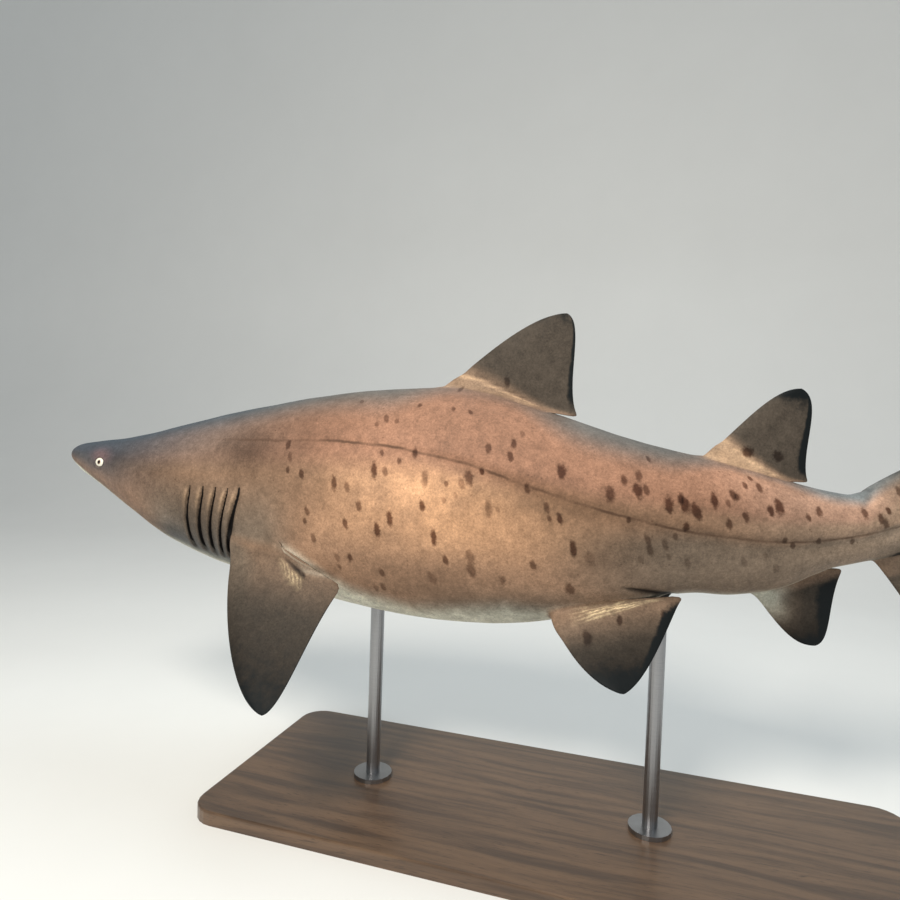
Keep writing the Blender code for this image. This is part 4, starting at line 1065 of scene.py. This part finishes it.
def paint_body(skin):
    """Broad tones of the body: back, belly, head, a painted pool of light on the flank, painted shade low
    on the gills, and painted light and shade in lighter and darker stretches.
    """
    x, height, body = skin.x, skin.height, skin.body
    off_fin = fall(skin.fin, 0.3, 0.8)
    off_tail = fall(x, 71.0, 76.0)
    narrow = np.maximum(window(x, 38.0, 48.0, 7.0), window(x, 59.5, 67.5, 5.0))
    back = rise(height, 0.83 + 0.12 * narrow, 1.0 + 0.01 * narrow) * (1 - 0.35 * narrow)
    # Painted shade: the lower part of the gill region takes the back's dark colour
    gills = window(x, 14.0, 23.0, 3.0) * fall(height, 0.05, 0.39) * body
    skin.paint["back"] = np.maximum(back * off_fin, 0.8 * gills)
    skin.paint["rosy"] = window(height, 0.66, 1.2, 0.14) * off_fin * off_tail
    belly_edge = np.interp(x, BELLY_STATIONS, BELLY_EDGE)
    skin.tint("belly", fall(height - belly_edge, -0.05, 0.08) * off_fin * off_tail)
    head = fall(x, 5.0, 18.0 + 14.0 * rise(height, 0.6, 1.0))
    skin.paint["head"] = head * (0.45 + 0.55 * rise(height, 0.22, 0.58))
    # A painted pool of light on the middle of the flank
    skin.paint["painted_light_pool"] = bell(x - 41.0, 9.0) * window(height, 0.36, 0.72, 0.22) * body
    # Painted light and shade, multiplied into the colour
    skin.paint["light_shade_and_tone"] = np.ones(len(x))
    for station, share, reach, spread, factor in LIGHT_AND_SHADE:
        amount = bell(x - station, reach) * bell(height - share, spread) * body
        skin.paint["light_shade_and_tone"] *= 1 + (factor - 1) * amount
    for cool in (window(x, 13.0, 27.0, 5.0) * fall(height, 0.30, 0.70),
                 fall(x, 18.0, 32.0) * rise(height, 0.52, 0.77),
                 0.8 * bell(x - 47.0, 9.0) * bell(height - 0.11, 0.09),
                 rise(x, 47.0, 59.0) * fall(height, 0.40, 0.58),
                 0.65 * rise(x, 58.0, 68.0)):
        skin.tint("cool", cool * off_fin)


def paint_fins(skin, axil):
    """Colour of the fins, their dark tips and rear edges; axil is the fold behind the pectorals."""
    level, chord = skin.level, skin.chord
    on_fin = rise(skin.fin, 0.3, 0.8)
    tail = rise(skin.x, 71.0, 76.0)
    colour, margin = np.zeros((2, len(level)))
    for name, (start, reach, base_dark, tip_dark, rear, tip, tip_reach, strength) in FIN_LOOKS.items():
        here = skin.zone[name] * on_fin
        colour += here * ease((level - (skin.cushion if start is None else start)) / reach)
        # Fins that face down are darker at the base and toward the tip: partly their own colour, partly
        # painted shade
        skin.paint["light_shade_and_tone"] *= 1 - here * (base_dark + tip_dark * rise(level, 0.15, 0.70))
        edge = rise(chord, 1 - rear, 1 - 0.3 * rear) * rise(level, 0.02, 0.27)
        margin += strength * here * np.maximum(edge, rise(level, tip, tip + tip_reach))
    tail_margin = np.maximum(fall(skin.height, 0.02, 0.10), 0.6 * rise(skin.height, 0.93, 0.99))
    skin.paint["margin"] = np.maximum(margin, 0.7 * tail * tail_margin * (1 - on_fin))

    pale_front = fall(chord, 0.10, 0.60) * fall(level, 0.10, 0.70) * skin.zone["anal"] * on_fin
    skin.tint("belly", pale_front)
    skin.tint("belly", 0.45 * axil)
    lobe = tail * rise(np.abs(skin.height - 0.5), 0.12, 0.42)
    skin.paint["fin"] = np.maximum(colour * (1 - pale_front) * (1 - axil), 0.75 * lobe)
    leading = 1.1 * skin.zone["pectoral"] * fall(chord, 0.05, 0.55)
    skin.tint("cool", on_fin * np.maximum(0.45 + 0.75 * level, leading))

    # Painted highlight on the swollen base of each dorsal fin, brightest in a narrow arc along its upper
    # edge
    arc = level - skin.cushion
    base = fall(chord, 0.58, 0.88) * on_fin * skin.dorsal
    lit_swollen_base = fall(arc, 0.0, 0.04) * np.where(skin.zone["second_dorsal"], 0.42, 0.16)
    skin.tint("pale", np.maximum(lit_swollen_base, 0.75 * bell(arc + 0.008, 0.016)) * base)
    # Painted shade in a thin line just above that arc, on the first dorsal fin
    skin.tint("painted_shade", 0.40 * bell(arc - 0.028, 0.010) * base * skin.zone["first_dorsal"])


# ---------------------------------------------------------------- materials
class Shader:
    """A Principled material and short ways to wire it."""

    def __init__(self, name):
        self.material = bpy.data.materials.new(name)
        self.material.use_nodes = True
        self.tree = self.material.node_tree
        self.principled = self.tree.nodes["Principled BSDF"]

    def wire(self, source, socket):
        """Link a socket, or set a constant."""
        if isinstance(source, bpy.types.NodeSocket):
            self.tree.links.new(source, socket)
        else:
            socket.default_value = source

    def set(self, **values):
        """Inputs of the Principled shader; an underscore stands for a space."""
        for key, value in values.items():
            self.wire(value, self.principled.inputs[key.replace("_", " ")])

    def node(self, kind, **settings):
        node = self.tree.nodes.new(kind)
        for key, value in settings.items():
            setattr(node, key, value)
        return node

    def attribute(self, name, output="Fac"):
        return self.node("ShaderNodeAttribute", attribute_name=name).outputs[output]

    def math(self, operation, a, b=0.0, c=0.0, clamp=False):
        node = self.node("ShaderNodeMath", operation=operation, use_clamp=clamp)
        for socket, value in zip(node.inputs, (a, b, c)):
            self.wire(value, socket)
        return node.outputs[0]

    def place(self):
        """Position in the object's own frame."""
        return self.node("ShaderNodeTexCoord").outputs["Object"]

    def times(self, a, b):
        return self.math("MULTIPLY", a, b)

    def scaled(self, value, factor, shift):
        """value * factor + shift"""
        return self.math("MULTIPLY_ADD", value, factor, shift)

    def vector_math(self, operation, a, b=(0.0, 0.0, 0.0), output="Vector"):
        node = self.node("ShaderNodeVectorMath", operation=operation)
        self.wire(a, node.inputs[0])
        self.wire(b, node.inputs[1])
        return node.outputs[output]

    def noise(self, vector, scale, detail=3.0, roughness=0.5, output="Fac"):
        node = self.node("ShaderNodeTexNoise")
        for key, value in (("Vector", vector), ("Scale", scale), ("Detail", detail),
                           ("Roughness", roughness)):
            self.wire(value, node.inputs[key])
        return node.outputs[output]

    def cells(self, vector, scale):
        node = self.node("ShaderNodeTexVoronoi")
        self.wire(vector, node.inputs["Vector"])
        self.wire(scale, node.inputs["Scale"])
        return node.outputs["Distance"]

    def span(self, value, low, high, out_low=0.0, out_high=1.0):
        """Smooth remap of a value from one range to another."""
        node = self.node("ShaderNodeMapRange", interpolation_type="SMOOTHSTEP")
        for socket, entry in zip(node.inputs, (value, low, high, out_low, out_high)):
            self.wire(entry, socket)
        return node.outputs["Result"]

    def under(self, value, low, high):
        """1 where a value is under low, 0 where it is over high."""
        return self.math("SUBTRACT", 1.0, self.span(value, low, high))

    def mix(self, factor, a, b, blend="MIX"):
        node = self.node("ShaderNodeMix", data_type="RGBA", blend_type=blend)
        self.wire(factor, node.inputs[0])
        self.wire(a if isinstance(a, bpy.types.NodeSocket) else (*a, 1.0), node.inputs[6])
        self.wire(b if isinstance(b, bpy.types.NodeSocket) else (*b, 1.0), node.inputs[7])
        return node.outputs[2]

    def shade(self, colour, factor):
        """A colour multiplied by a grey factor."""
        grey = self.node("ShaderNodeCombineColor")
        for socket in grey.inputs:
            self.wire(factor, socket)
        return self.mix(1.0, colour, grey.outputs[0], "MULTIPLY")

    def bump(self, height, distance, strength=1.0, normal=None):
        node = self.node("ShaderNodeBump")
        self.wire(height, node.inputs["Height"])
        self.wire(distance, node.inputs["Distance"])
        self.wire(strength, node.inputs["Strength"])
        if normal is not None:
            self.wire(normal, node.inputs["Normal"])
        return node.outputs["Normal"]

    def stretched(self, vector, scale):
        node = self.node("ShaderNodeMapping")
        self.wire(vector, node.inputs["Vector"])
        self.wire(scale, node.inputs["Scale"])
        return node.outputs["Vector"]


FLANK = (0.290, 0.172, 0.108)
PAINTED_LIGHT_POOL = (0.64, 0.360, 0.203)
ROSY = (0.325, 0.170, 0.108)
BACK = (0.112, 0.118, 0.112)
BELLY = (0.72, 0.70, 0.58)
HEAD = (0.068, 0.072, 0.080)
COOL = (0.72, 0.90, 1.05)      # multiplies the flank's colour
FIN_TONE = (0.068, 0.054, 0.042)
MARGIN = (0.006, 0.008, 0.009)
# Painted highlights on the gill flaps and the dorsal fins' swollen bases
PAINTED_HIGHLIGHT = (0.72, 0.48, 0.30)
SPOT = (0.26, 0.20, 0.18)      # multiplies the skin's colour
MOUTH = (0.12, 0.035, 0.03)
MAUVE = (0.22, 0.13, 0.13)
FOLD_HIGHLIGHT = (1.0, 0.78, 0.48)
LINE = (0.075, 0.040, 0.025)
PORE = (0.03, 0.022, 0.02)
# Near-black painted shade for slits, creases, pits and gaps
PAINTED_SHADE = (0.012, 0.009, 0.008)
# Near-black painted shade inside the gill slits
SLIT_SHADE = (0.005, 0.004, 0.004)
IRIS = (0.93, 0.90, 0.80)
IRIS_STREAK = (0.78, 0.74, 0.62)
IRIS_RIM = (0.36, 0.27, 0.19)
PUPIL_RING = (0.30, 0.17, 0.10)
PUPIL = (0.006, 0.006, 0.008)
PUPIL_SIZE = (0.20, 0.31)      # half width and half height, eyeball 1
IVORY = (0.80, 0.75, 0.63)
TOOTH_ROOT = (0.42, 0.30, 0.18)
OAK_DARK, OAK_LIGHT = (0.060, 0.034, 0.020), (0.150, 0.088, 0.050)
OAK_PORE = (0.028, 0.016, 0.010)
STEEL_DARK, STEEL_LIGHT = (0.26, 0.26, 0.27), (0.40, 0.40, 0.41)
FLOOR_DARK, FLOOR_LIGHT = (0.70, 0.69, 0.67), (0.76, 0.75, 0.73)
FLOOR_GLOW = (1.0, 0.99, 0.97, 1.0)


def skin_material():
    """Skin: broad tones from the paint, mottling, spots, lateral line, grain and pores."""
    s = Shader("shark_skin")
    rest = s.attribute("rest", "Vector")
    drift = s.noise(rest, 5.0, 3.0, 0.55)
    mottle = s.noise(rest, 34.0, 4.0, 0.6)
    streak = s.noise(s.stretched(rest, (18.0, 60.0, 60.0)), 1.0, 3.0, 0.6)
    cloud = s.noise(rest, 85.0, 3.0, 0.6)
    grain = s.noise(rest, 230.0, 4.0, 0.8)

    head = s.attribute("head")
    # The flank, lighter where the pool of light is painted
    colour = s.mix(s.times(s.attribute("painted_light_pool"), s.span(drift, 0.30, 0.62)), FLANK, PAINTED_LIGHT_POOL)
    colour = s.mix(s.attribute("rosy"), colour, ROSY)
    colour = s.mix(s.times(s.attribute("back"), 0.9), colour, BACK)
    colour = s.mix(s.times(head, 0.92), colour, HEAD)
    colour = s.mix(s.attribute("cool"), colour, COOL, "MULTIPLY")
    belly = s.math("ADD", s.attribute("belly"), s.scaled(mottle, 0.5, -0.25), clamp=True)
    belly = s.times(belly, s.attribute("belly"))
    colour = s.mix(belly, colour, BELLY)
    colour = s.mix(s.attribute("fin"), colour, FIN_TONE)
    colour = s.mix(s.attribute("mauve"), colour, MAUVE)
    # Painted highlights on the gill flaps and the dorsal fins' swollen bases
    pale = s.times(s.attribute("pale"), s.span(streak, 0.25, 0.6, 0.45, 1.0))
    colour = s.mix(pale, colour, PAINTED_HIGHLIGHT)
    # Painted highlights on the ridges of the creases and pleats
    fold = s.math("SINE", s.scaled(cloud, 9.0, s.attribute("fold")))
    fold = s.times(s.span(fold, -0.9, 1.0, 0.25, 0.95), s.span(mottle, 0.35, 0.6, 0.35, 1.0))
    fold = s.times(s.attribute("fold_highlight_on"), fold)
    colour = s.mix(fold, colour, FOLD_HIGHLIGHT)
    colour = s.mix(s.times(s.attribute("lips"), 0.5), colour, BELLY)

    # Random drift, mottling, clouds and grain, times the painted light and shade and the fins' darkening
    light_shade_and_tone = s.scaled(drift, 0.6, 0.70)
    light_shade_and_tone = s.times(light_shade_and_tone, s.scaled(mottle, 0.80, 0.60))
    light_shade_and_tone = s.times(light_shade_and_tone, s.scaled(cloud, 0.70, 0.65))
    light_shade_and_tone = s.times(light_shade_and_tone, s.scaled(grain, 1.50, 0.25))
    light_shade_and_tone = s.times(light_shade_and_tone, s.attribute("light_shade_and_tone"))
    colour = s.shade(colour, light_shade_and_tone)

    waver = s.scaled(s.noise(rest, 26.0, 4.0, 0.6), 0.30, -0.15)
    line = s.math("ABSOLUTE", s.math("ADD", s.attribute("line"), waver))
    line = s.times(s.under(line, 0.02, 0.18), s.attribute("line_on"))
    line = s.times(line, s.span(s.noise(rest, 14.0, 3.0), 0.34, 0.62, 0.30, 0.80))
    colour = s.mix(line, colour, LINE)

    wobble = s.vector_math("SUBTRACT", s.noise(rest, 110.0, 3.0, 0.6, "Color"), (0.5, 0.5, 0.5))
    wobble = s.vector_math("MULTIPLY", wobble, (1.3, 1.3, 0.0))
    for name in ("spot_near", "spot_next"):
        # x and y are the offset in half sizes, z is the spot's darkness
        offset = s.attribute(name, "Vector")
        flat = s.vector_math("MULTIPLY", offset, (1.0, 1.0, 0.0))
        distance = s.vector_math("LENGTH", s.vector_math("ADD", flat, wobble), output="Value")
        spot = s.under(distance, 0.55, 1.35)
        dark = s.node("ShaderNodeSeparateXYZ")
        s.wire(offset, dark.inputs[0])
        spot = s.times(spot, dark.outputs[2])
        colour = s.mix(spot, colour, SPOT, "MULTIPLY")

    fleck = s.under(s.cells(rest, 75.0), 0.10, 0.20)
    sparse = s.span(s.noise(rest, 21.0, 1.0), 0.56, 0.66)
    fleck = s.times(fleck, s.times(sparse, s.span(head, 0.4, 0.0, 0.0, 0.4)))
    colour = s.mix(fleck, colour, SPOT, "MULTIPLY")

    ragged = s.math("SUBTRACT", s.attribute("margin"), 0.45)
    ragged = s.scaled(s.noise(rest, 60.0, 3.0, 0.6), 0.9, ragged)
    colour = s.mix(s.span(ragged, 0.14, 0.80), colour, MARGIN)
    pore = s.under(s.cells(rest, 170.0), 0.07, 0.13)
    pore = s.times(pore, s.span(head, 0.90, 0.99, 0.0, 0.7))
    colour = s.mix(pore, colour, PORE)
    colour = s.mix(s.attribute("mouth"), colour, MOUTH)
    # Painted shade in creases, pits, gaps and between the gill flaps
    colour = s.mix(s.attribute("painted_shade"), colour, PAINTED_SHADE)
    # Painted shade, near black, in the gill slits
    slit = s.vector_math("LENGTH", s.attribute("slit", "Vector"), output="Value")
    slit = s.under(slit, 0.70, 1.30)
    colour = s.mix(slit, colour, SLIT_SHADE)

    normal = s.bump(s.cells(rest, 900.0), 0.0005, 0.35)
    normal = s.bump(mottle, 0.0012, 0.5, normal)
    s.set(Base_Color=colour, Normal=normal, Roughness=s.scaled(mottle, 0.25, 0.48),
          Specular_IOR_Level=0.13)
    return s.material


def eye_material():
    """Pale iris with an upright oval pupil, under a clear wet coat."""
    s = Shader("shark_eye")
    gaze = s.attribute("gaze", "Vector")
    flat = s.vector_math("MULTIPLY", gaze, (1.0, 1.0, 0.0))
    radius = s.vector_math("LENGTH", flat, output="Value")
    oval = s.vector_math("MULTIPLY", gaze, (1 / PUPIL_SIZE[0], 1 / PUPIL_SIZE[1], 0.0))
    pupil = s.vector_math("LENGTH", oval, output="Value")
    rays = s.noise(s.stretched(s.vector_math("NORMALIZE", flat), (9.0, 9.0, 1.0)), 2.0, 3.0, 0.6)
    colour = s.mix(s.span(rays, 0.3, 0.7), IRIS_STREAK, IRIS)
    colour = s.mix(s.span(radius, 0.60, 0.80), colour, IRIS_RIM)
    colour = s.mix(s.under(pupil, 0.92, 1.65), colour, PUPIL_RING)
    colour = s.mix(s.under(pupil, 0.85, 1.0), colour, PUPIL)
    s.set(Base_Color=colour, Roughness=0.25, Specular_IOR_Level=0.30, Coat_Weight=0.15,
          Coat_Roughness=0.05)
    return s.material


def tooth_material():
    """Ivory teeth, darker at the root and clearer at the tip."""
    s = Shader("shark_teeth")
    share = s.attribute("share")
    stain = s.noise(s.attribute("rest", "Vector"), 260.0, 3.0, 0.6)
    colour = s.mix(s.span(share, 0.0, 0.35), TOOTH_ROOT, IVORY)
    colour = s.shade(colour, s.scaled(stain, 0.3, 0.85))
    s.set(Base_Color=colour, Roughness=s.scaled(stain, 0.1, 0.16))
    return s.material


def wood_material():
    """Stained oak for the base: long grain, pores, a satin varnish."""
    s = Shader("stand_oak")
    place = s.place()
    bend = s.noise(s.stretched(place, (1.2, 5.0, 5.0)), 1.0, 2.0, 0.5, "Color")
    place = s.vector_math("ADD", place, s.vector_math("MULTIPLY", bend, (0.0, 0.10, 0.10)))
    grain = s.noise(s.stretched(place, (2.0, 46.0, 46.0)), 1.0, 5.0, 0.6)
    pores = s.noise(s.stretched(place, (30.0, 600.0, 600.0)), 1.0, 2.0, 0.5)
    colour = s.mix(s.span(grain, 0.30, 0.68), OAK_DARK, OAK_LIGHT)
    colour = s.mix(s.span(pores, 0.58, 0.72, 0.0, 0.7), colour, OAK_PORE)
    normal = s.bump(pores, 0.0004, 0.4)
    s.set(Base_Color=colour, Normal=normal, Roughness=s.scaled(grain, 0.18, 0.30), Coat_Weight=0.3,
          Coat_Roughness=0.2)
    return s.material


def steel_material():
    """Brushed steel, turned, so that the brushing runs round the rod."""
    s = Shader("stand_steel")
    lines = s.noise(s.stretched(s.place(), (30.0, 30.0, 1500.0)), 1.0, 2.0, 0.6)
    colour = s.mix(lines, STEEL_DARK, STEEL_LIGHT)
    s.set(Base_Color=colour, Metallic=1.0, Normal=s.bump(lines, 0.0002, 0.4),
          Roughness=s.scaled(lines, 0.2, 0.24))
    return s.material


def floor_material():
    s = Shader("studio_floor")
    cloud = s.noise(s.place(), 1.4, 4.0, 0.6)
    colour = s.mix(cloud, FLOOR_DARK, FLOOR_LIGHT)
    s.set(Base_Color=colour, Roughness=0.75, Emission_Color=FLOOR_GLOW, Emission_Strength=0.14)
    return s.material


# ---------------------------------------------------------------- eyes and teeth
def add_object(name, mesh, material):
    """A smooth object of one material, linked to the scene."""
    mesh.materials.append(material)
    mesh.shade_smooth()
    result = bpy.data.objects.new(name, mesh)
    bpy.context.scene.collection.objects.link(result)
    return result


CORNEA = 0.04                  # how far the cornea stands out of the eyeball, in radii
CORNEA_WIDTH = 0.55            # radians from the axis of sight


def make_eye(name, left, material):
    """An eyeball with a cornea, its pole on the axis of sight."""
    angle = EYE_ANGLE if left else 360 - EYE_ANGLE
    point, normal = skin_point(EYE_STATION, angle), skin_normal(EYE_STATION, angle)
    centre = point + normal * (EYE_BULGE - EYE_RADIUS)
    up = unit(np.cross(normal, np.cross((0.0, 0.0, 1.0), normal)))
    across = np.cross(up, normal)
    bends = list(np.radians(np.concatenate((np.arange(3, 75, 3), np.arange(78, 180, 12)))))
    turns = np.linspace(0, 2 * math.pi, 64, endpoint=False)
    back = math.radians(EYE_TURN) * math.copysign(1.0, across[0])
    sight = normal * math.cos(back) + across * math.sin(back)
    beside = np.cross(up, sight)

    def ball_point(u, v, w, radius):
        """A point off the centre, squeezed from a sphere to the eyeball's shape."""
        offset = radius * (beside * u + up * v + sight * w)
        offset += across * np.dot(offset, across) * (EYE_LONG - 1)
        return centre + offset + up * np.dot(offset, up) * (EYE_HIGH - 1)

    points, gaze = [ball_point(0, 0, 1, EYE_RADIUS * (1 + CORNEA))], [(0.0, 0.0, 1.0)]
    for bend in bends:
        radius = EYE_RADIUS * (1 + CORNEA * bell(bend, CORNEA_WIDTH))
        for turn in turns:
            gaze.append((math.sin(bend) * math.cos(turn), math.sin(bend) * math.sin(turn), math.cos(bend)))
            points.append(ball_point(*gaze[-1], radius))
    points.append(ball_point(0, 0, -1, EYE_RADIUS))
    gaze.append((0.0, 0.0, -1.0))
    count = len(turns)
    faces = [(0, 1 + k, 1 + (k + 1) % count) for k in range(count)]
    for i in range(len(bends) - 1):
        a, b = 1 + i * count, 1 + (i + 1) * count
        faces += [(a + k, b + k, b + (k + 1) % count, a + (k + 1) % count) for k in range(count)]
    a, last = 1 + (len(bends) - 1) * count, len(points) - 1
    faces += [(a + (k + 1) % count, a + k, last) for k in range(count)]
    mesh = bpy.data.meshes.new(name)
    mesh.from_pydata([tuple(p) for p in in_metres(points)], [], faces)
    builder = bmesh.new()
    builder.from_mesh(mesh)
    bmesh.ops.recalc_face_normals(builder, faces=builder.faces)
    builder.to_mesh(mesh)
    builder.free()
    store(mesh, "gaze", gaze)
    return add_object(name, mesh, material)


# The cusps of a tooth: place across it in radii, length and width against the middle one
CUSPS = ((0.0, 1.0, 1.0), (-1.15, 0.24, 0.55), (1.15, 0.24, 0.55))


def tooth(points, shares, faces, root, heading, curl, length, radius):
    """One slender hooked tooth with two small side cusps."""
    sides, levels = 8, 7
    across = unit(np.cross(heading, curl))
    for shift, size, width in CUSPS:
        start = len(points)
        for k in range(levels):
            t = k / (levels - 1)
            taper = (1 - t) ** 0.75 if t < 1 else 0.0
            bow = math.sin(math.pi * min(1.0, t * 1.1)) * 0.10 - 0.06 * t
            centre = root + across * radius * shift + (heading * t + curl * bow) * length * size
            for n in range(sides):
                turn = 2 * math.pi * n / sides
                ring = across * math.cos(turn) * 1.15 + curl * math.sin(turn) * 0.75
                points.append(centre + ring * radius * width * (0.04 + taper))
                shares.append(t)
        for k in range(levels - 1):
            a, b = start + k * sides, start + (k + 1) * sides
            faces.extend((a + n, a + (n + 1) % sides, b + (n + 1) % sides, b + n)
                         for n in range(sides))
        faces.append(tuple(start + n for n in range(sides)))
        faces.append(tuple(start + (levels - 1) * sides + n for n in range(sides)))


TEETH_SEED = 23
TOOTH_RADIUS = 0.10
TOOTH_INSET = 0.05             # how far the roots are set back above, and forward below
# Rows of teeth: upper or lower, teeth, angle reach, depth of the root, length, outward and
# backward heading
TOOTH_ROWS = ((True, 18, 36.0, 0.14, 0.50, 0.50, 0.80), (True, 15, 31.0, 0.30, 0.46, 0.66, 0.64),
              (False, 16, 35.0, 0.16, 0.42, 0.76, -0.46), (False, 13, 29.0, 0.32, 0.40, 0.85, -0.30))


def make_teeth(material):
    """Ragged rows of teeth: the upper ones hang over the gape, the lower ones stand up in it."""
    rng = np.random.default_rng(TEETH_SEED)
    points, shares, faces = [], [], []
    for upper, count, reach, depth, length, outward, backward in TOOTH_ROWS:
        for step in np.linspace(-reach, reach, count):
            angle = 180.0 + step + rng.uniform(-0.6, 0.6)
            ring = MOUTH_RING if upper else opened(MOUTH_RING, angle)
            normal = skin_normal(ring, angle)
            share = 1 - 0.55 * (abs(step) / reach) ** 1.5
            inset = TOOTH_INSET if upper else -TOOTH_INSET
            root = skin_point(ring, angle) - normal * depth + np.array((inset, 0.0, 0.0))
            heading = normal * outward + np.array((backward, 0.0, 0.0)) * (0.4 + 0.6 * share)
            heading = unit(heading + rng.uniform(-0.12, 0.12, 3))
            curl = unit(normal - heading * np.dot(normal, heading))
            size = share * rng.uniform(0.82, 1.12)
            radius = TOOTH_RADIUS * (0.5 + 0.5 * size)
            tooth(points, shares, faces, root, heading, curl, length * size, radius)
    mesh = bpy.data.meshes.new("teeth")
    mesh.from_pydata([tuple(p) for p in in_metres(points)], [], faces)
    store(mesh, "share", shares)
    store(mesh, "rest", np.array(points) * UNIT)
    return add_object("teeth", mesh, material)

# ---------------------------------------------------------------- pieces
def build_skin():
    """One skin over the whole animal."""
    skin = Skin(subdivided(skin_cage().mesh("skin"), SUBDIVISIONS))
    slits = press_gills(skin)
    press_eyes(skin)
    press_nostrils(skin)
    press_mouth(skin)
    press_lateral_line(skin)
    axil = press_fins(skin)
    press_tail_pit(skin)
    press_unevenness(skin)
    paint_body(skin)
    paint_fins(skin, axil)
    paint_slits(skin, slits)
    paint_spots(skin)
    return skin.finish("shark_skin", skin_material())



# Nodes of the CAD that the skin stands in for
FLESH = ("head", "lower_jaw", "gills_and_shoulders", "trunk_front", "trunk_middle", "trunk_rear",
         "tail_stalk", "tail_fin_upper_lobe", "tail_fin_lower_lobe", "first_dorsal_fin",
         "second_dorsal_fin", "anal_fin", "pectoral_fin_left", "pectoral_fin_right",
         "pelvic_fin_left", "pelvic_fin_right")

skin_piece = build_skin()
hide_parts(*FLESH)
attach(skin_piece, "root")

eye_look = eye_material()
for eye_name, is_left in (("eye_left", True), ("eye_right", False)):
    eye_piece = make_eye("glass_" + eye_name, is_left, eye_look)
    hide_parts(eye_name)
    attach(eye_piece, "root")

teeth_piece = make_teeth(tooth_material())
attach(teeth_piece, "root")

for node_name, look in (("stand_base", wood_material()), ("stand_rod_front", steel_material()),
                        ("stand_rod_rear", steel_material())):
    for material_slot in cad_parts[node_name].material_slots:
        material_slot.material = look


# ---------------------------------------------------------------- studio
# Floor and backdrop, in metres: front edge, where the curve up starts, its radius, top, half width
FLOOR_FRONT, FLOOR_REAR, CURVE_RADIUS, BACKDROP_TOP, FLOOR_HALF_WIDTH = -6.0, 2.6, 2.0, 7.0, 9.0


def add_floor():
    """A pale floor that curves up into a backdrop behind the model."""
    profile = [(FLOOR_FRONT, 0.0), (FLOOR_REAR, 0.0)]
    profile += [(FLOOR_REAR + CURVE_RADIUS * math.sin(turn), CURVE_RADIUS * (1 - math.cos(turn)))
                for turn in np.linspace(0.12, math.pi / 2, 14)]
    profile += [(FLOOR_REAR + CURVE_RADIUS, BACKDROP_TOP)]
    points = [(x, y, z) for y, z in profile for x in (-FLOOR_HALF_WIDTH, FLOOR_HALF_WIDTH)]
    faces = [(2 * k, 2 * k + 1, 2 * k + 3, 2 * k + 2) for k in range(len(profile) - 1)]
    mesh = bpy.data.meshes.new("studio_floor")
    mesh.from_pydata(points, [], faces)
    floor = add_object("studio_floor", mesh, floor_material())


def add_light(name, place, target, size, watts, colour):
    """A square area light that points at target."""
    light = bpy.data.lights.new(name, "AREA")
    light.size = size
    light.energy = watts
    light.color = colour
    holder = bpy.data.objects.new(name, light)
    holder.location = place
    holder.rotation_euler = (Vector(target) - Vector(place)).to_track_quat("-Z", "Y").to_euler()
    bpy.context.scene.collection.objects.link(holder)


# Camera: place in metres, turn, tilt and roll in degrees, lens in millimetres
CAMERA_PLACE = (0.2077, -1.5047, 0.8750)
CAMERA_TURN = 17.525
CAMERA_TILT = 2.170
CAMERA_ROLL = 1.971
CAMERA_LENS = 27.547


def add_camera():
    """The photograph's view: from the left, a little behind the middle, nearly level."""
    camera = bpy.data.cameras.new("camera")
    camera.lens = CAMERA_LENS
    camera.sensor_width = 36.0
    camera.dof.use_dof = False
    holder = bpy.data.objects.new("camera", camera)
    turn = Matrix.Rotation(math.radians(CAMERA_TURN), 4, "Z")
    tilt = Matrix.Rotation(math.radians(90.0 - CAMERA_TILT), 4, "X")
    roll = Matrix.Rotation(math.radians(CAMERA_ROLL), 4, "Z")
    holder.matrix_world = Matrix.Translation(CAMERA_PLACE) @ turn @ tilt @ roll
    bpy.context.scene.collection.objects.link(holder)
    bpy.context.scene.camera = holder


SKY = (0.84, 0.96, 1.0, 1.0)
SKY_STRENGTH = 0.27


def add_world():
    """Even, slightly cool light from all round."""
    world = bpy.data.worlds.new("studio")
    world.use_nodes = True
    background = world.node_tree.nodes["Background"]
    background.inputs["Color"].default_value = SKY
    background.inputs["Strength"].default_value = SKY_STRENGTH
    bpy.context.scene.world = world


add_floor()
# Lights: place, target, size in metres, watts, colour
add_light("key", (-0.7, -2.5, 3.1), (0.0, 0.0, 0.7), 1.1, 138.0, (1.0, 0.95, 0.86))
add_light("fill", (2.8, -2.6, 1.6), (0.2, 0.0, 0.7), 2.4, 12.0, (0.88, 0.94, 1.0))
add_light("top", (0.2, 0.9, 3.6), (0.0, 0.0, 0.7), 2.4, 45.0, (0.80, 0.93, 1.0))
add_camera()
add_world()
scene = bpy.context.scene
scene.view_settings.view_transform = "Standard"
scene.view_settings.look = "None"
scene.view_settings.exposure = 0.0


def corners(box):
    """A box as plain lists of numbers."""
    return [[float(value) for value in corner] for corner in box]
